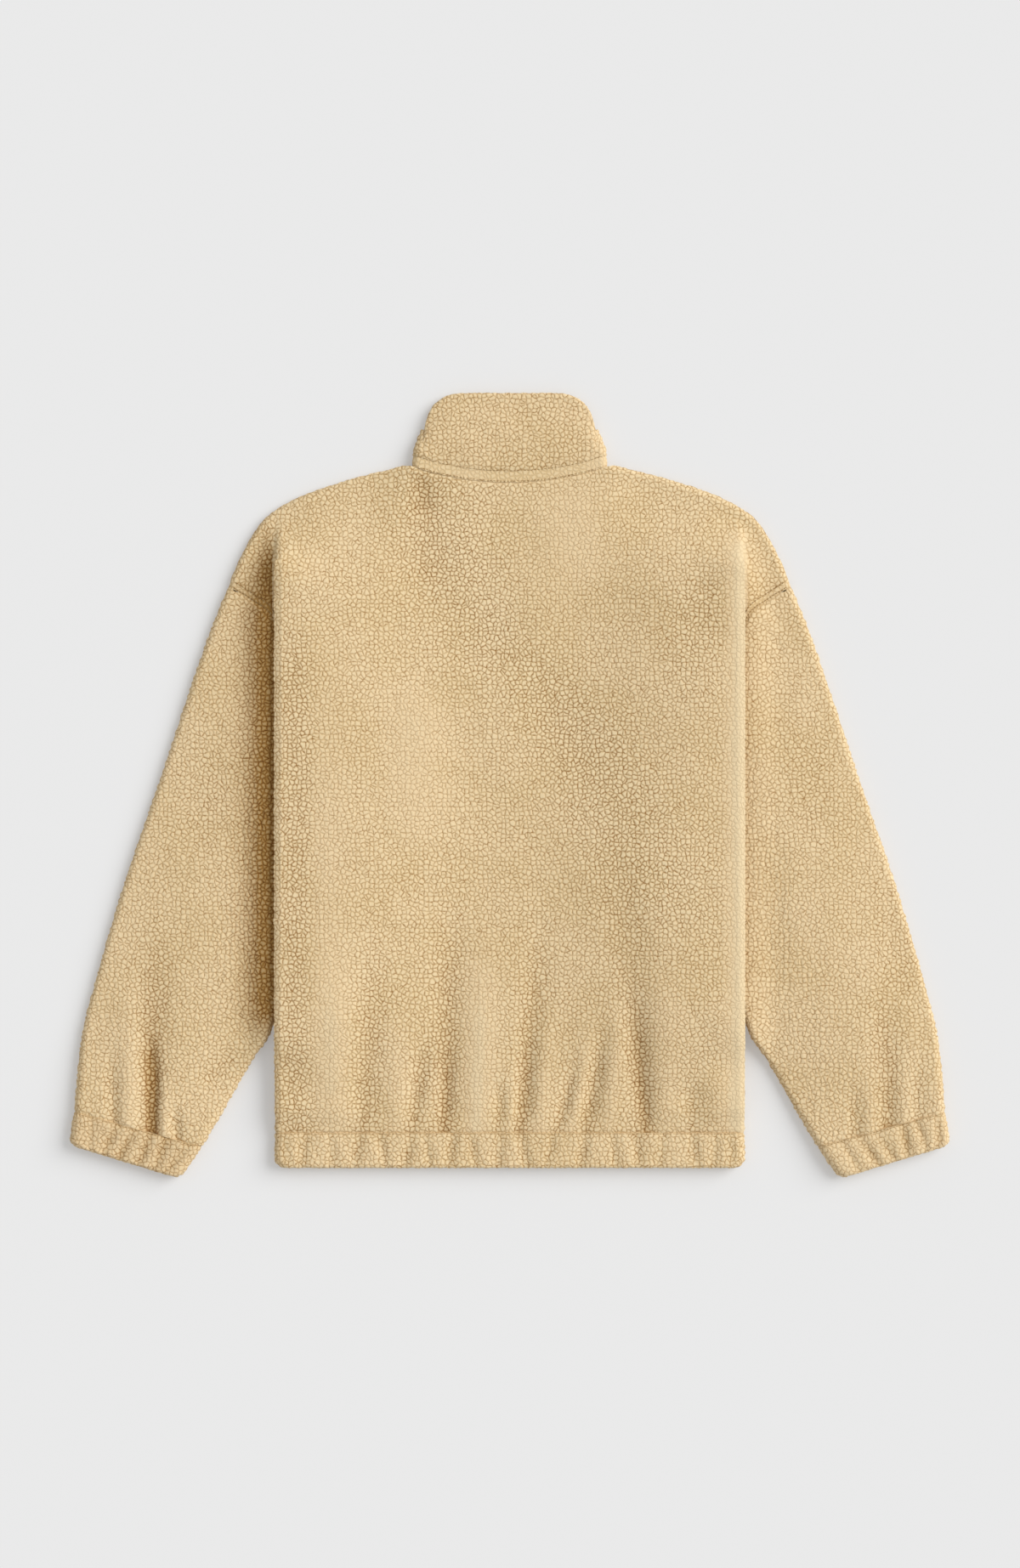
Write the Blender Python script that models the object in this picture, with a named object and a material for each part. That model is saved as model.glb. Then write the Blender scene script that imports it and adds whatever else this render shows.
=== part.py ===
"""Sherpa fleece zip-up jacket, laid flat on its front with its back uppermost.

Every length is in millimetres until a mesh is made, and MM turns it into metres.
+X is to the right of a viewer who looks down on the back, +Y runs to the collar, and
+Z is up. The origin is the middle of the laid jacket, on the surface that it lies on.

The body is wider than its hem, so each side is tucked in as a pleat: the back turns
under at the side fold, runs in to the pleat line and turns out again into the drop
shoulder, and the front mirrors it from below. The sleeves leave between the two.
"""

import math
from collections import Counter, namedtuple

import bmesh
import bpy
from mathutils import Vector

MM = 0.001

# Cloth
WALL = 4.5  # one layer of fleece, with its pile
AIR = 0.6  # left between two layers that lie on each other
LAYER = WALL + AIR
SEAM = 0.3  # between two pieces that are sewn together
BAND_WALL = 8.0  # hem band and cuffs, cut double around elastic
COLLAR_WALL = 6.5  # collar, cut double, at the back
TURN = LAYER / 2  # radius of a cloth's middle where it folds back on itself

# Body
SIDE_X = 235.0  # side fold, from the centre line
HEM_Y = -384.0
BAND_HEIGHT = 35.0
HEM_SEAM_Y = HEM_Y + BAND_HEIGHT
NECK_X = 98.0  # end of the neck seam, where collar and shoulder meet
NECK_END_Y = 318.0
NECK_BACK_Y = 302.0
NECK_FRONT_Y = 262.0
CENTRE_Z = 10.2  # middle of the back's cloth where only the front lies under it
HEM_Z = 12.6  # the same at the hem seam
FALL = 85.0  # over this width the back comes down from the side stack
HEM_RUN = 110.0  # over this length it comes down from the hem band
NECK_RUN = 70.0  # and over this, from the neck and shoulder seams
SHOULDER_RUN = 45.0  # from the neck, where the shoulder seam comes down from the collar
CORNER_RUN = 15.0  # from the neck, where the cloth begins to turn over at that seam
TOP_RUN = 60.0  # below the shoulder seam, where the sections begin to lean with it
UNDERARM_Y = -50.0  # the drop shoulder ends here, and the side seam begins
FOLD_TOP_Y = 273.0  # where the side fold runs out into the shoulder
FOLD_X = SIDE_X - WALL / 2 - TURN  # where a panel's field ends and its side fold begins
ZIP_GAP = 5.5  # from the centre line to each front's edge
ZIP_CLEAR_Z = 9.4  # lowest that the back's middle lies over the zip
ZIP_RUN = 40.0  # over this width a doubled band thins towards the zip

# Sleeves
CLEAR = 3.0  # beyond the side fold, a sleeve is still held up by the layers below it
STEP_DOWN = 48.0  # and over this width it comes down to the surface
SLEEVE_DOWN_Y = -305.0  # towards the cuff it lies on the surface from here
SLEEVE_DOWN_RUN = 70.0
UNEVEN = 0.12  # how far the layers in the stack are from level
UNEVEN_RUN = 31.0
CUFF_SHARE = 0.8  # of the sleeve's length, past which it turns and fills out to its cuff
SHOULDER_PUFF = 0.7  # how much a sleeve's layers stand apart, beyond their fold
SLEEVE_PUFF = 1.6
CUFF_PUFF = 1.2  # more of it where the sleeve is gathered into its cuff

# Collar
COLLAR_Z = 11.3  # middle of its upper wall at the neck seam
COLLAR_DROOP = 4.6  # how far its free top edge comes down at the back
COLLAR_BULGE = 1.5  # of its side folds, outwards
COLLAR_FRONT_Y = 340.0  # its top edge at the zip

# Zip
TAPE_WIDTH = 13.0
TAPE_THICK = 0.6
CHAIN_HALF = 2.8
CHAIN_THICK = 2.2
TAPE_Z = WALL + SEAM + TAPE_THICK / 2  # sewn to the inner face of each front
ZIP_TOP_Y = 334.0
ZIP_BOTTOM_Y = HEM_Y + 1.5
TAPE_SLOT = 0.6  # half the height of a slot that a tape runs in
BOX_LENGTH = 12.2  # the foot of the zip, which takes the chain's pin
BOX_HALF = 4.6
BOX_THICK = 3.2
STOP_LENGTH = 3.5
STOP_THICK = 2.2
SLIDER_Y = 322.0
SLIDER_LENGTH = 13.0
SLIDER_TOP_Y = SLIDER_Y + SLIDER_LENGTH / 2
SLIDER_HALF = 4.4
SLIDER_LOW = TAPE_Z - 2.3
SLIDER_HIGH = TAPE_Z + 2.1
PLATE = 0.8
POST_LENGTH = 3.1
CROWN_Y = SLIDER_Y + 1.0
CROWN_HALF = 3.0
CROWN_WALL = 1.1
CROWN_LOW = 0.4
PULL_Z = 2.0  # the pull's hinge
PULL_LENGTH = 30.0
PULL_HALF = 3.2
PULL_THICK = 1.0

# Colours, linear
FLEECE = (0.64, 0.50, 0.28)
TAPE = (0.50, 0.38, 0.21)
TEETH = (0.42, 0.32, 0.17)
METAL = (0.55, 0.50, 0.42)

# How finely the cloth is divided
TURN_STEPS = 3
CAP_COLUMNS = 3
EDGE_ROWS = 2
SLEEVE_RINGS = 10
CUFF_STEPS = 5
HEM_STEPS = 9
HEM_CORNER = 10.0

# The pleat at each side, by height along the side fold: how far the cloth turns under
# there, how far it then runs in, and how high the back's cloth lies at the fold.
Pleat = namedtuple("Pleat", "y turn run height")
PLEATS = (
    Pleat(y=HEM_SEAM_Y, turn=90, run=0.0, height=12.6),
    Pleat(y=-320, turn=180, run=1.0, height=19.0),
    Pleat(y=-290, turn=180, run=9.0, height=19.4),
    Pleat(y=-245, turn=180, run=17.0, height=27.75),
    Pleat(y=-60, turn=180, run=39.0, height=27.75),
    Pleat(y=70, turn=180, run=22.0, height=27.75),
    Pleat(y=195, turn=180, run=2.0, height=27.75),
    Pleat(y=273, turn=0, run=0.0, height=7.35),
)
# Heights along the side fold at which the cloth's sections are taken.
SECTIONS = (HEM_SEAM_Y, -334, -316, -295, -270, -245, -190, -125, -75,
            -40, 30, 95, 150, 185, 212, 236, 256)
FIRST_CAP = 9  # the section where the drop shoulder begins

# A doubled band's thickness, from its seam to its fold.
Profile = namedtuple("Profile", "share part")
BAND_PROFILE = (Profile(0.0, 0.82), Profile(0.2, 1.0), Profile(0.75, 1.0), Profile(0.93, 0.82),
                Profile(1.0, 0.45))

# Edges of the laid jacket, right half.
Edge = namedtuple("Edge", "x y")
SHOULDER = (Edge(98, 318), Edge(163, 304), Edge(211, 287), Edge(240, 270),
            Edge(252, 257), Edge(267, 232), Edge(282, 198))
ARMHOLE = (Edge(282, 198), Edge(257, 183), Edge(237, 165), Edge(226, 115), Edge(215, 35),
           Edge(205, -40))
SLEEVE_OUTER = (Edge(282, 198), Edge(299, 155), Edge(317, 104), Edge(351, 2), Edge(386, -100),
                Edge(416, -202), Edge(429, -257), Edge(436, -328))
SLEEVE_INNER = (Edge(205, -40), Edge(217, -150), Edge(236, -240), Edge(259, -278),
                Edge(288, -329), Edge(308, -363))
CUFF_OUTER = (Edge(436, -328), Edge(440, -357))
CUFF_INNER = (Edge(308, -363), Edge(331, -391))
COLLAR_TOP = (Edge(0, 391), Edge(45, 390.5), Edge(66, 387.5), Edge(78, 377), Edge(88, 355))

# Each side of the collar folds round to the front: which way that faces, and how far the
# cloth's turn reaches back from it.
COLLAR_SIDE = Vector((COLLAR_TOP[-1].y - NECK_END_Y, NECK_X - COLLAR_TOP[-1].x)).normalized()
COLLAR_REACH = (COLLAR_Z + COLLAR_WALL / 2) / 2
COLLAR_FOOT = Vector((NECK_X, NECK_END_Y)) - COLLAR_SIDE * COLLAR_REACH

# Columns of the body's cloth, from the centre line, which the collar shares along the neck.
BACK_NECK = (0, 23, 46, 68)
FRONT_NECK = (ZIP_GAP, 24, 48, 70)
BACK_COLUMNS = (*BACK_NECK, COLLAR_FOOT.x, NECK_X, 120, 143, 166, 189, 211)
FRONT_COLUMNS = (*FRONT_NECK, COLLAR_FOOT.x, NECK_X, 140, 185)
HEM_FRONT_COLUMNS = (ZIP_GAP, 20, 50, 130)

# Soft folds that the cloth holds where it lies: a line, its half width, and how far it
# stands up or sinks in.
Fold = namedtuple("Fold", "x0 y0 x1 y1 width rise")
BACK_FOLDS = (
    Fold(x0=-95, y0=290, x1=-15, y1=150, width=38, rise=-2.2),
    Fold(x0=-15, y0=150, x1=122, y1=-60, width=40, rise=-2.4),
    Fold(x0=-90, y0=70, x1=-86, y1=-80, width=34, rise=2.6),
    Fold(x0=-59, y0=-130, x1=-58, y1=-346, width=17, rise=-3.2),
    Fold(x0=-33, y0=-135, x1=-36, y1=-346, width=16, rise=2.4),
    Fold(x0=94, y0=0, x1=126, y1=-346, width=18, rise=-3.2),
    Fold(x0=153, y0=-130, x1=155, y1=-346, width=20, rise=2.4),
    Fold(x0=-174, y0=-170, x1=-172, y1=-346, width=22, rise=2.2),
)
SLEEVE_FOLDS = (
    Fold(x0=-360, y0=-185, x1=-366, y1=-345, width=20, rise=-3.4),
    Fold(x0=-398, y0=-290, x1=-402, y1=-335, width=16, rise=-2.0),
    Fold(x0=352, y0=-130, x1=378, y1=-330, width=22, rise=-2.6),
)


def mix(a, b, t):
    return a + (b - a) * t


def ease(t):
    """0 to 1 with a level start and end."""
    t = min(max(t, 0.0), 1.0)
    return t * t * (3 - 2 * t)


def read(rows, at, column):
    """A table's column at this height along the side fold, eased from row to row."""
    for low, high in zip(rows, rows[1:]):
        if at <= high.y:
            return mix(getattr(low, column), getattr(high, column), ease((at - low.y) / (high.y - low.y)))
    return getattr(rows[-1], column)


def spline(a, b, c, d, t):
    """Between b and c, on the smooth curve through all four."""
    return 0.5 * (2 * b + (c - a) * t + (2 * a - 5 * b + 4 * c - d) * t**2 + (3 * b - a - 3 * c + d) * t**3)


def on_curve(edges, t):
    """The point at this share of the smooth curve's length through the edges' points."""
    points = [Vector(edge) for edge in edges]
    spans = [(b - a).length for a, b in zip(points, points[1:])]
    left = min(max(t, 0.0), 1.0) * sum(spans)
    for i, span in enumerate(spans):
        if left <= span or i == len(spans) - 1:
            break
        left -= span
    before = points[i - 1] if i else 2 * points[0] - points[1]
    after = points[i + 2] if i + 2 < len(points) else 2 * points[-1] - points[-2]
    return spline(before, points[i], points[i + 1], after, left / span)


def across(edges, t):
    """The unit normal of that curve in plan, to the left of its run."""
    step = on_curve(edges, t + 0.01) - on_curve(edges, t - 0.01)
    return Vector((-step.y, step.x)).normalized()


def share_at(edges, x):
    """The share of the curve's length at which it passes x, for a curve that always goes one way in x."""
    low, high = 0.0, 1.0
    rising = edges[-1].x > edges[0].x
    for _ in range(30):
        half = (low + high) / 2
        if (on_curve(edges, half).x < x) == rising:
            low = half
        else:
            high = half
    return low


def fold_height(folds, x, y):
    """What the soft folds add to the cloth's height at a point of the plan."""
    total = 0.0
    for fold in folds:
        start, run = Vector((fold.x0, fold.y0)), Vector((fold.x1 - fold.x0, fold.y1 - fold.y0))
        t = (Vector((x, y)) - start).dot(run) / run.length_squared
        away = Vector((x, y)) - start - run * min(max(t, 0.0), 1.0)
        total += fold.rise * math.exp(-away.length_squared / fold.width**2)
    return total


def bend(x, z, heading, length, turn, steps):
    """Points (x, z, heading) along a stretch of cloth's middle that turns evenly."""
    found = []
    for i in range(1, steps + 1):
        angle = turn * i / steps
        if abs(turn) < 1e-6:
            forward = length * i / steps
            found.append((x + forward * math.cos(heading), z + forward * math.sin(heading), heading))
            continue
        radius = length / turn
        found.append((
            x + radius * (math.sin(heading + angle) - math.sin(heading)),
            z - radius * (math.cos(heading + angle) - math.cos(heading)),
            heading + angle,
        ))
    return found


def turn_length(turn):
    """Length of the cloth's middle in one turn of the pleat, which is never less than a quarter's."""
    return TURN * max(turn, math.pi / 2)


def drop(y):
    """How far the pleat takes the cloth down, from a panel's field to the drop shoulder."""
    turn = math.radians(read(PLEATS, y, "turn"))
    if turn < 1e-3:
        return 0.0
    return 2 * turn_length(turn) / turn * (1 - math.cos(turn)) + read(PLEATS, y, "run") * math.sin(turn)


def lift(y):
    """How far the front's folded side raises the drop shoulder or sleeve that lies on it."""
    return drop(y) if y > UNDERARM_Y else 2 * LAYER * ease((y - SLEEVE_DOWN_Y) / SLEEVE_DOWN_RUN)


def fold_top(y):
    """Height of the back's cloth at the side fold."""
    return LAYER + WALL / 2 + 2 * drop(y) if y > UNDERARM_Y else read(PLEATS, y, "height")


def outside(x):
    """0 under the body's edge, 1 well clear of it."""
    return ease((abs(x) - SIDE_X - CLEAR) / STEP_DOWN)


def arm_height(x, y, puff, side):
    """Height of the cloth's middle on a sleeve or drop shoulder: side 1 above, -1 below."""
    half = TURN + puff * outside(x)
    raised = (lift(y) + UNEVEN * math.sin(y / UNEVEN_RUN)) * (1 - outside(x))
    return WALL / 2 + half + raised + side * half


def seam_z(x):
    """Height of the back's cloth just inside its neck and shoulder seams."""
    return mix(COLLAR_Z, LAYER + WALL / 2, ease((x - NECK_X) / SHOULDER_RUN))


def back_height(x, y, edge_y, edge_z):
    """Height of the middle of the back's cloth inside its side folds."""
    lowest = ZIP_CLEAR_Z if abs(x) < 2 * TAPE_WIDTH else LAYER + WALL / 2
    centre = mix(HEM_Z, CENTRE_Z, ease((y - HEM_SEAM_Y) / HEM_RUN)) + fold_height(BACK_FOLDS, x, y)
    centre = mix(edge_z, max(centre, lowest), ease((edge_y - y) / NECK_RUN))
    start = FOLD_X - read(PLEATS, y, "run") - TURN - FALL
    return mix(centre, fold_top(y), ease((abs(x) - start) / FALL))


def neck_seam(x, side):
    """(point, outward normal) on a panel's neck seam."""
    middle, power = (NECK_BACK_Y, 2.0) if side > 0 else (NECK_FRONT_Y, 2.5)
    rise = NECK_END_Y - middle
    slope = rise * power / NECK_X * (x / NECK_X) ** (power - 1)
    return Vector((x, middle + rise * (x / NECK_X) ** power)), Vector((-slope, 1)).normalized()


def turned_edge(x, side, steps=1):
    """(point just inside, height there, (middle, face) rows) where a panel turns over its top edge."""
    if x < NECK_X:
        (point, normal), turned = neck_seam(x, side), 0.0
    else:
        share = share_at(SHOULDER, x)
        point, normal = on_curve(SHOULDER, share), across(SHOULDER, share)
        turned = ease((x - NECK_X) / CORNER_RUN)
    z = seam_z(x) if side > 0 else WALL / 2
    radius = (seam_z(x) - WALL / 2 - SEAM) / 2
    length = radius * math.pi / 2
    inside = point - normal * mix(length + SEAM / 2, radius + WALL / 2, turned)
    rows = []
    for out, up, heading in bend(0.0, 0.0, 0.0, length, -turned * math.pi / 2, steps):
        plan = inside + normal * out
        rows.append((
            Vector((plan.x, plan.y, z + side * up)),
            Vector((*(normal * -math.sin(heading)), side * math.cos(heading))),
        ))
    return inside, z, rows


def pleat_path(y, steps):
    """Points (x, height over the layers' middle, heading) from the side fold to the drop shoulder or
    the side seam."""
    turn = math.radians(read(PLEATS, y, "turn"))
    path = bend(FOLD_X, (fold_top(y) - WALL / 2) / 2, 0.0, turn_length(turn), -turn, steps)
    path += bend(*path[-1], max(read(PLEATS, y, "run"), 0.05), 0.0, 1)
    if y > UNDERARM_Y:
        return path + bend(*path[-1], turn_length(turn), turn, steps)
    back = turn - math.pi / 2
    path += bend(*path[-1], max(TURN * back, 0.3), back, steps)
    return [*path, (path[-1][0], SEAM / 2, path[-1][2])]


def edge_columns(columns):
    """Where each column of a panel meets its top edge, from the centre line."""
    field = list(columns)
    path = [x for x, _, _ in pleat_path(FOLD_TOP_Y, TURN_STEPS)]
    cap = [mix(path[-1], SHOULDER[-1].x, (i + 1) / CAP_COLUMNS) for i in range(CAP_COLUMNS)]
    return field + [FOLD_X] + path + cap


def panel_row(side, sign, columns, y_fold):
    """A section of half the back (side 1) or of a front (side -1), from the centre out, as
    (middle, face) pairs."""
    share = (y_fold - HEM_SEAM_Y) / (FOLD_TOP_Y - HEM_SEAM_Y)
    at_edge = edge_columns(columns)
    row = []
    for x in at_edge[:len(columns) + 1]:
        inside, z, _ = turned_edge(x, side)
        plan = Vector((x, HEM_SEAM_Y + SEAM / 2)).lerp(inside, share)
        if side > 0:
            z = back_height(sign * plan.x, plan.y, inside.y, z)
        row.append((Vector((sign * plan.x, plan.y, z)), Vector((0, 0, side))))
    y_start = row[-1][0].y
    to_top = ease(1 - (FOLD_TOP_Y - y_fold) / TOP_RUN)
    middle = (fold_top(y_fold) + WALL / 2) / 2
    y_edge = turned_edge(at_edge[len(columns)], side)[0].y
    for x, z, heading in pleat_path(y_fold, TURN_STEPS):
        plan = Vector((x, y_start))
        if to_top:
            inside = turned_edge(x, side)[0]
            plan += Vector((inside.x - x, inside.y - y_edge)) * to_top
        row.append((
            Vector((sign * plan.x, plan.y, middle + side * z)),
            Vector((-math.sin(heading) * sign, 0, side * math.cos(heading))),
        ))
    if y_fold < UNDERARM_Y:
        return row + [None] * (CAP_COLUMNS - 1)
    start = Vector((abs(row[-1][0].x), row[-1][0].y))
    return row + drop_shoulder(side, sign, y_fold, start, to_top, at_edge[-CAP_COLUMNS - 1:])


def armhole(share, clear):
    """A point this far from the armhole seam, on the sleeve's side of it."""
    return on_curve(ARMHOLE, share) + across(ARMHOLE, share) * clear


def seam_shares():
    """The shares of the armhole seam at which the drop shoulder's sections end."""
    caps = [*SECTIONS[FIRST_CAP:], FOLD_TOP_Y]
    return [(FOLD_TOP_Y - y) / (FOLD_TOP_Y - caps[0]) for y in reversed(caps)]


def drop_shoulder(side, sign, y_fold, start, to_top, at_edge):
    """The rest of a section, from the pleat line out to the armhole seam."""
    seam = armhole((FOLD_TOP_Y - y_fold) / (FOLD_TOP_Y - SECTIONS[FIRST_CAP]), -SEAM / 2)
    first, last = turned_edge(at_edge[0], side)[0], turned_edge(at_edge[-1], side)[0]
    row = []
    for i in range(1, CAP_COLUMNS + 1):
        t = i / CAP_COLUMNS
        bulge = turned_edge(at_edge[i], side)[0] - first.lerp(last, t)
        plan = start.lerp(last if y_fold == FOLD_TOP_Y else seam, t) + bulge * to_top
        z = arm_height(plan.x, y_fold, SHOULDER_PUFF * t, side)
        row.append((Vector((sign * plan.x, plan.y, z)), Vector((0, 0, side))))
    return row


def panel(side, sign, columns):
    """Half of the back, or a whole front, as rows of (outer, inner) points from hem to shoulder."""
    rows = [panel_row(side, sign, columns, y) for y in (*SECTIONS, FOLD_TOP_Y)]
    to_side = Vector((sign, 1, 1))
    turned = [[] for _ in range(EDGE_ROWS)]
    for x in edge_columns(columns):
        for row, (middle, face) in zip(turned, turned_edge(x, side, EDGE_ROWS)[2]):
            row.append((middle * to_side, face * to_side))
    return [[pair and faces_of(*pair, WALL) for pair in row] for row in rows + turned]


def faces_of(middle, face, wall):
    """The outer and inner point of a wall at its middle."""
    return middle + face * wall / 2, middle - face * wall / 2


def flat_ring(outer, outward, inner, inward, heights, wall, shares, bow=None):
    """One ring of a flattened tube, as (outer, inner) points: over the top from its outer edge to its
    inner one, round that, back underneath and round again.

    heights(x, y, t) gives the lower and the upper middle of the cloth.
    """
    ends = []
    for point, normal in ((outer, outward), (inner, inward)):
        low, high = heights(point.x, point.y, 0.0 if point is outer else 1.0)
        ends.append((point - normal * (high - low + wall) / 2, normal, low, high))
    (start, _, _, _), (end, _, _, _) = ends
    plans = [(start.lerp(end, t) + (bow(t, start, end) if bow else Vector((0, 0))), t) for t in shares]
    ring = []
    for side in (1, -1):
        for plan, t in plans[::side]:
            low, high = heights(plan.x, plan.y, t)
            ring.append((Vector((*plan, high if side > 0 else low)), Vector((0, 0, side))))
        centre, normal, low, high = ends[1] if side > 0 else ends[0]
        for k in range(1, TURN_STEPS + 1):
            angle = math.pi * k / (TURN_STEPS + 1)
            up = math.cos(angle) * side
            face = Vector((*(normal * math.sin(angle)), up))
            plan = centre + normal * math.sin(angle) * (high - low) / 2
            ring.append((Vector((*plan, (low + high) / 2 + up * (high - low) / 2)), face))
    return [faces_of(middle, face, wall) for middle, face in ring]


def mirrored(rows):
    """The same rows for the left side."""
    return [[pair and tuple(Vector((-p.x, p.y, p.z)) for p in pair) for pair in row] for row in rows]


def sleeve(sign):
    """Rings of a sleeve from the armhole seam to the cuff seam, worked out on the right."""
    rings = []
    for k in range(SLEEVE_RINGS + 1):
        s = k / SLEEVE_RINGS
        to_cuff = ease((s - CUFF_SHARE) / (1 - CUFF_SHARE))
        puff = mix(SHOULDER_PUFF, SLEEVE_PUFF, ease(3 * s)) + CUFF_PUFF * to_cuff

        def heights(x, y, t):
            y_row = mix(FOLD_TOP_Y, SECTIONS[FIRST_CAP], t)
            y_lift = mix(y_row, y, ease(4 * s))
            low, high = (arm_height(x, y_lift, puff, side) for side in (-1, 1))
            sink = fold_height(SLEEVE_FOLDS, sign * x, y) * outside(x)
            return low, max(high + sink, low + LAYER)

        def bow(t, start, end):
            away = armhole(t, SEAM / 2) - start.lerp(end, t)
            return away * (1 - s) ** 2 * ease(t / 0.04) * ease((1 - t) / 0.06)

        gap = armhole(0.0, SEAM) - armhole(0.0, 0.0) if k == 0 else Vector((0, SEAM * (k == SLEEVE_RINGS)))
        outer, inner = on_curve(SLEEVE_OUTER, s), on_curve(SLEEVE_INNER, s)
        along = (outer - inner).normalized()
        rings.append(flat_ring(
            outer + gap, across(SLEEVE_OUTER, s).lerp(along, to_cuff), inner + gap,
            -across(SLEEVE_INNER, s).lerp(along, to_cuff), heights, WALL, seam_shares(), bow,
        ))
    return rings if sign > 0 else mirrored(rings)


def cuff():
    """Rings of the right cuff, from its seam down."""
    rings = []
    for row in BAND_PROFILE:
        outer, inner = on_curve(CUFF_OUTER, row.share), on_curve(CUFF_INNER, row.share)
        along = (outer - inner).normalized()
        rings.append(flat_ring(
            outer, along, inner, -along, lambda x, y, t: (BAND_WALL / 2, HEM_Z),
            BAND_WALL * row.part, [i / CUFF_STEPS for i in range(CUFF_STEPS + 1)],
        ))
    return rings


def at_zip(x):
    """How much of its thickness a doubled band has at x: it is flattened to one layer at the zip."""
    return ease((abs(x) - TAPE_WIDTH - ZIP_GAP) / ZIP_RUN)


def hem_row(share, part):
    """One row of the hem band's right half, from the middle of the back to the front's edge."""
    y = mix(HEM_SEAM_Y, HEM_Y, share)
    rounding = max(HEM_CORNER - (y - HEM_Y), 0.0)
    side_x = SIDE_X - HEM_CORNER + math.sqrt(HEM_CORNER**2 - rounding**2)
    low, high = BAND_WALL / 2, HEM_Z
    centre = side_x - high / 2 - low / 2
    row = [(Vector((centre * i / HEM_STEPS, y, high)), Vector((0, 0, 1)), BAND_WALL * part)
           for i in range(HEM_STEPS + 1)]
    for k in range(1, TURN_STEPS + 1):
        angle = math.pi * k / (TURN_STEPS + 1)
        face = Vector((math.sin(angle), 0, math.cos(angle)))
        middle = Vector((centre, y, (low + high) / 2)) + face * (high - low) / 2
        row.append((middle, face, BAND_WALL * part))
    for x in (centre, *reversed(HEM_FRONT_COLUMNS)):
        wall = mix(WALL, BAND_WALL, at_zip(x))
        row.append((Vector((x, y, wall / 2)), Vector((0, 0, -1)), wall * part))
    return [faces_of(*point) for point in row]


def collar_row(share, part):
    """One row of the collar's right half, from the middle of the back to the front's edge."""
    low, high = COLLAR_WALL / 2, COLLAR_Z
    corner = Vector((NECK_X, NECK_END_Y)).lerp(Vector(COLLAR_TOP[-1]), share)
    corner += COLLAR_SIDE * COLLAR_BULGE * math.sin(math.pi * share)
    centre = corner - COLLAR_SIDE * COLLAR_REACH
    tip = Vector(COLLAR_TOP[-1]) - COLLAR_SIDE * COLLAR_REACH
    row = []
    for x in BACK_NECK:
        t = x / COLLAR_FOOT.x
        point, normal = neck_seam(x, 1)
        top = on_curve(COLLAR_TOP, t) - COLLAR_SIDE * COLLAR_REACH * ease((t - 0.7) / 0.3)
        plan = (point + normal * SEAM / 2).lerp(top, share)
        z = high - COLLAR_DROOP * ease((share - 0.35) / 0.65) * (1 - t * t)
        row.append((Vector((*plan, z)), Vector((0, 0, 1)), COLLAR_WALL * part))
    for k in range(TURN_STEPS + 2):
        angle = math.pi * k / (TURN_STEPS + 1)
        face = Vector((*(COLLAR_SIDE * math.sin(angle)), math.cos(angle)))
        middle = Vector((*centre, (low + high) / 2)) + face * (high - low) / 2
        row.append((middle, face, COLLAR_WALL * part))
    for x in reversed(FRONT_NECK):
        point, normal = neck_seam(x, -1)
        x_top = x * tip.x / COLLAR_FOOT.x if x > ZIP_GAP else x
        top = Vector((x_top, mix(COLLAR_FRONT_Y, tip.y, (x_top / tip.x) ** 2)))
        plan = (point + normal * SEAM / 2).lerp(top, share)
        wall = mix(WALL, COLLAR_WALL, at_zip(x))
        row.append((Vector((*plan, wall / 2)), Vector((0, 0, -1)), wall * part))
    return [faces_of(*point) for point in row]


def both_halves(rows):
    """Rows that run from the left to the right, out of a right half."""
    return [list(reversed(left))[:-1] + right for left, right in zip(mirrored(rows), rows)]


def colour(name, base, roughness, metallic=0.0):
    material = bpy.data.materials.new(name)
    material.use_nodes = True
    shader = material.node_tree.nodes["Principled BSDF"]
    shader.inputs["Base Color"].default_value = (*base, 1.0)
    shader.inputs["Roughness"].default_value = roughness
    shader.inputs["Metallic"].default_value = metallic
    return material


def add(name, bm, material, parent, smooth=True):
    """An object of this mesh, in metres."""
    bmesh.ops.scale(bm, vec=Vector((MM, MM, MM)), verts=bm.verts)
    mesh = bpy.data.meshes.new(name)
    bm.to_mesh(mesh)
    bm.free()
    if smooth:
        mesh.shade_smooth()
        mesh.set_sharp_from_angle(angle=math.radians(50))
    mesh.materials.append(material)
    piece = bpy.data.objects.new(name, mesh)
    bpy.context.scene.collection.objects.link(piece)
    piece.parent = parent
    return piece


def cloth(name, rows, material, parent, tube=False):
    """One closed wall of cloth between the outer and the inner points of its rows."""
    bm = bmesh.new()
    outer = [[pair and bm.verts.new(pair[0]) for pair in row] for row in rows]
    inner = [[pair and bm.verts.new(pair[1]) for pair in row] for row in rows]
    cells = []
    for r in range(len(rows) - 1):
        count = len(rows[r])
        for c in range(count if tube else count - 1):
            corners = [(r, c), (r, (c + 1) % count), (r + 1, (c + 1) % count), (r + 1, c)]
            if all(outer[i][j] for i, j in corners):
                cells.append(corners)
    uses = Counter(frozenset(edge) for cell in cells for edge in zip(cell, cell[1:] + cell[:1]))
    for cell in cells:
        bm.faces.new([outer[i][j] for i, j in cell])
        bm.faces.new([inner[i][j] for i, j in reversed(cell)])
        for a, b in zip(cell, cell[1:] + cell[:1]):
            if uses[frozenset((a, b))] == 1:
                bm.faces.new([outer[b[0]][b[1]], outer[a[0]][a[1]], inner[a[0]][a[1]], inner[b[0]][b[1]]])
    bmesh.ops.recalc_face_normals(bm, faces=bm.faces)
    return add(name, bm, material, parent)


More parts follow.
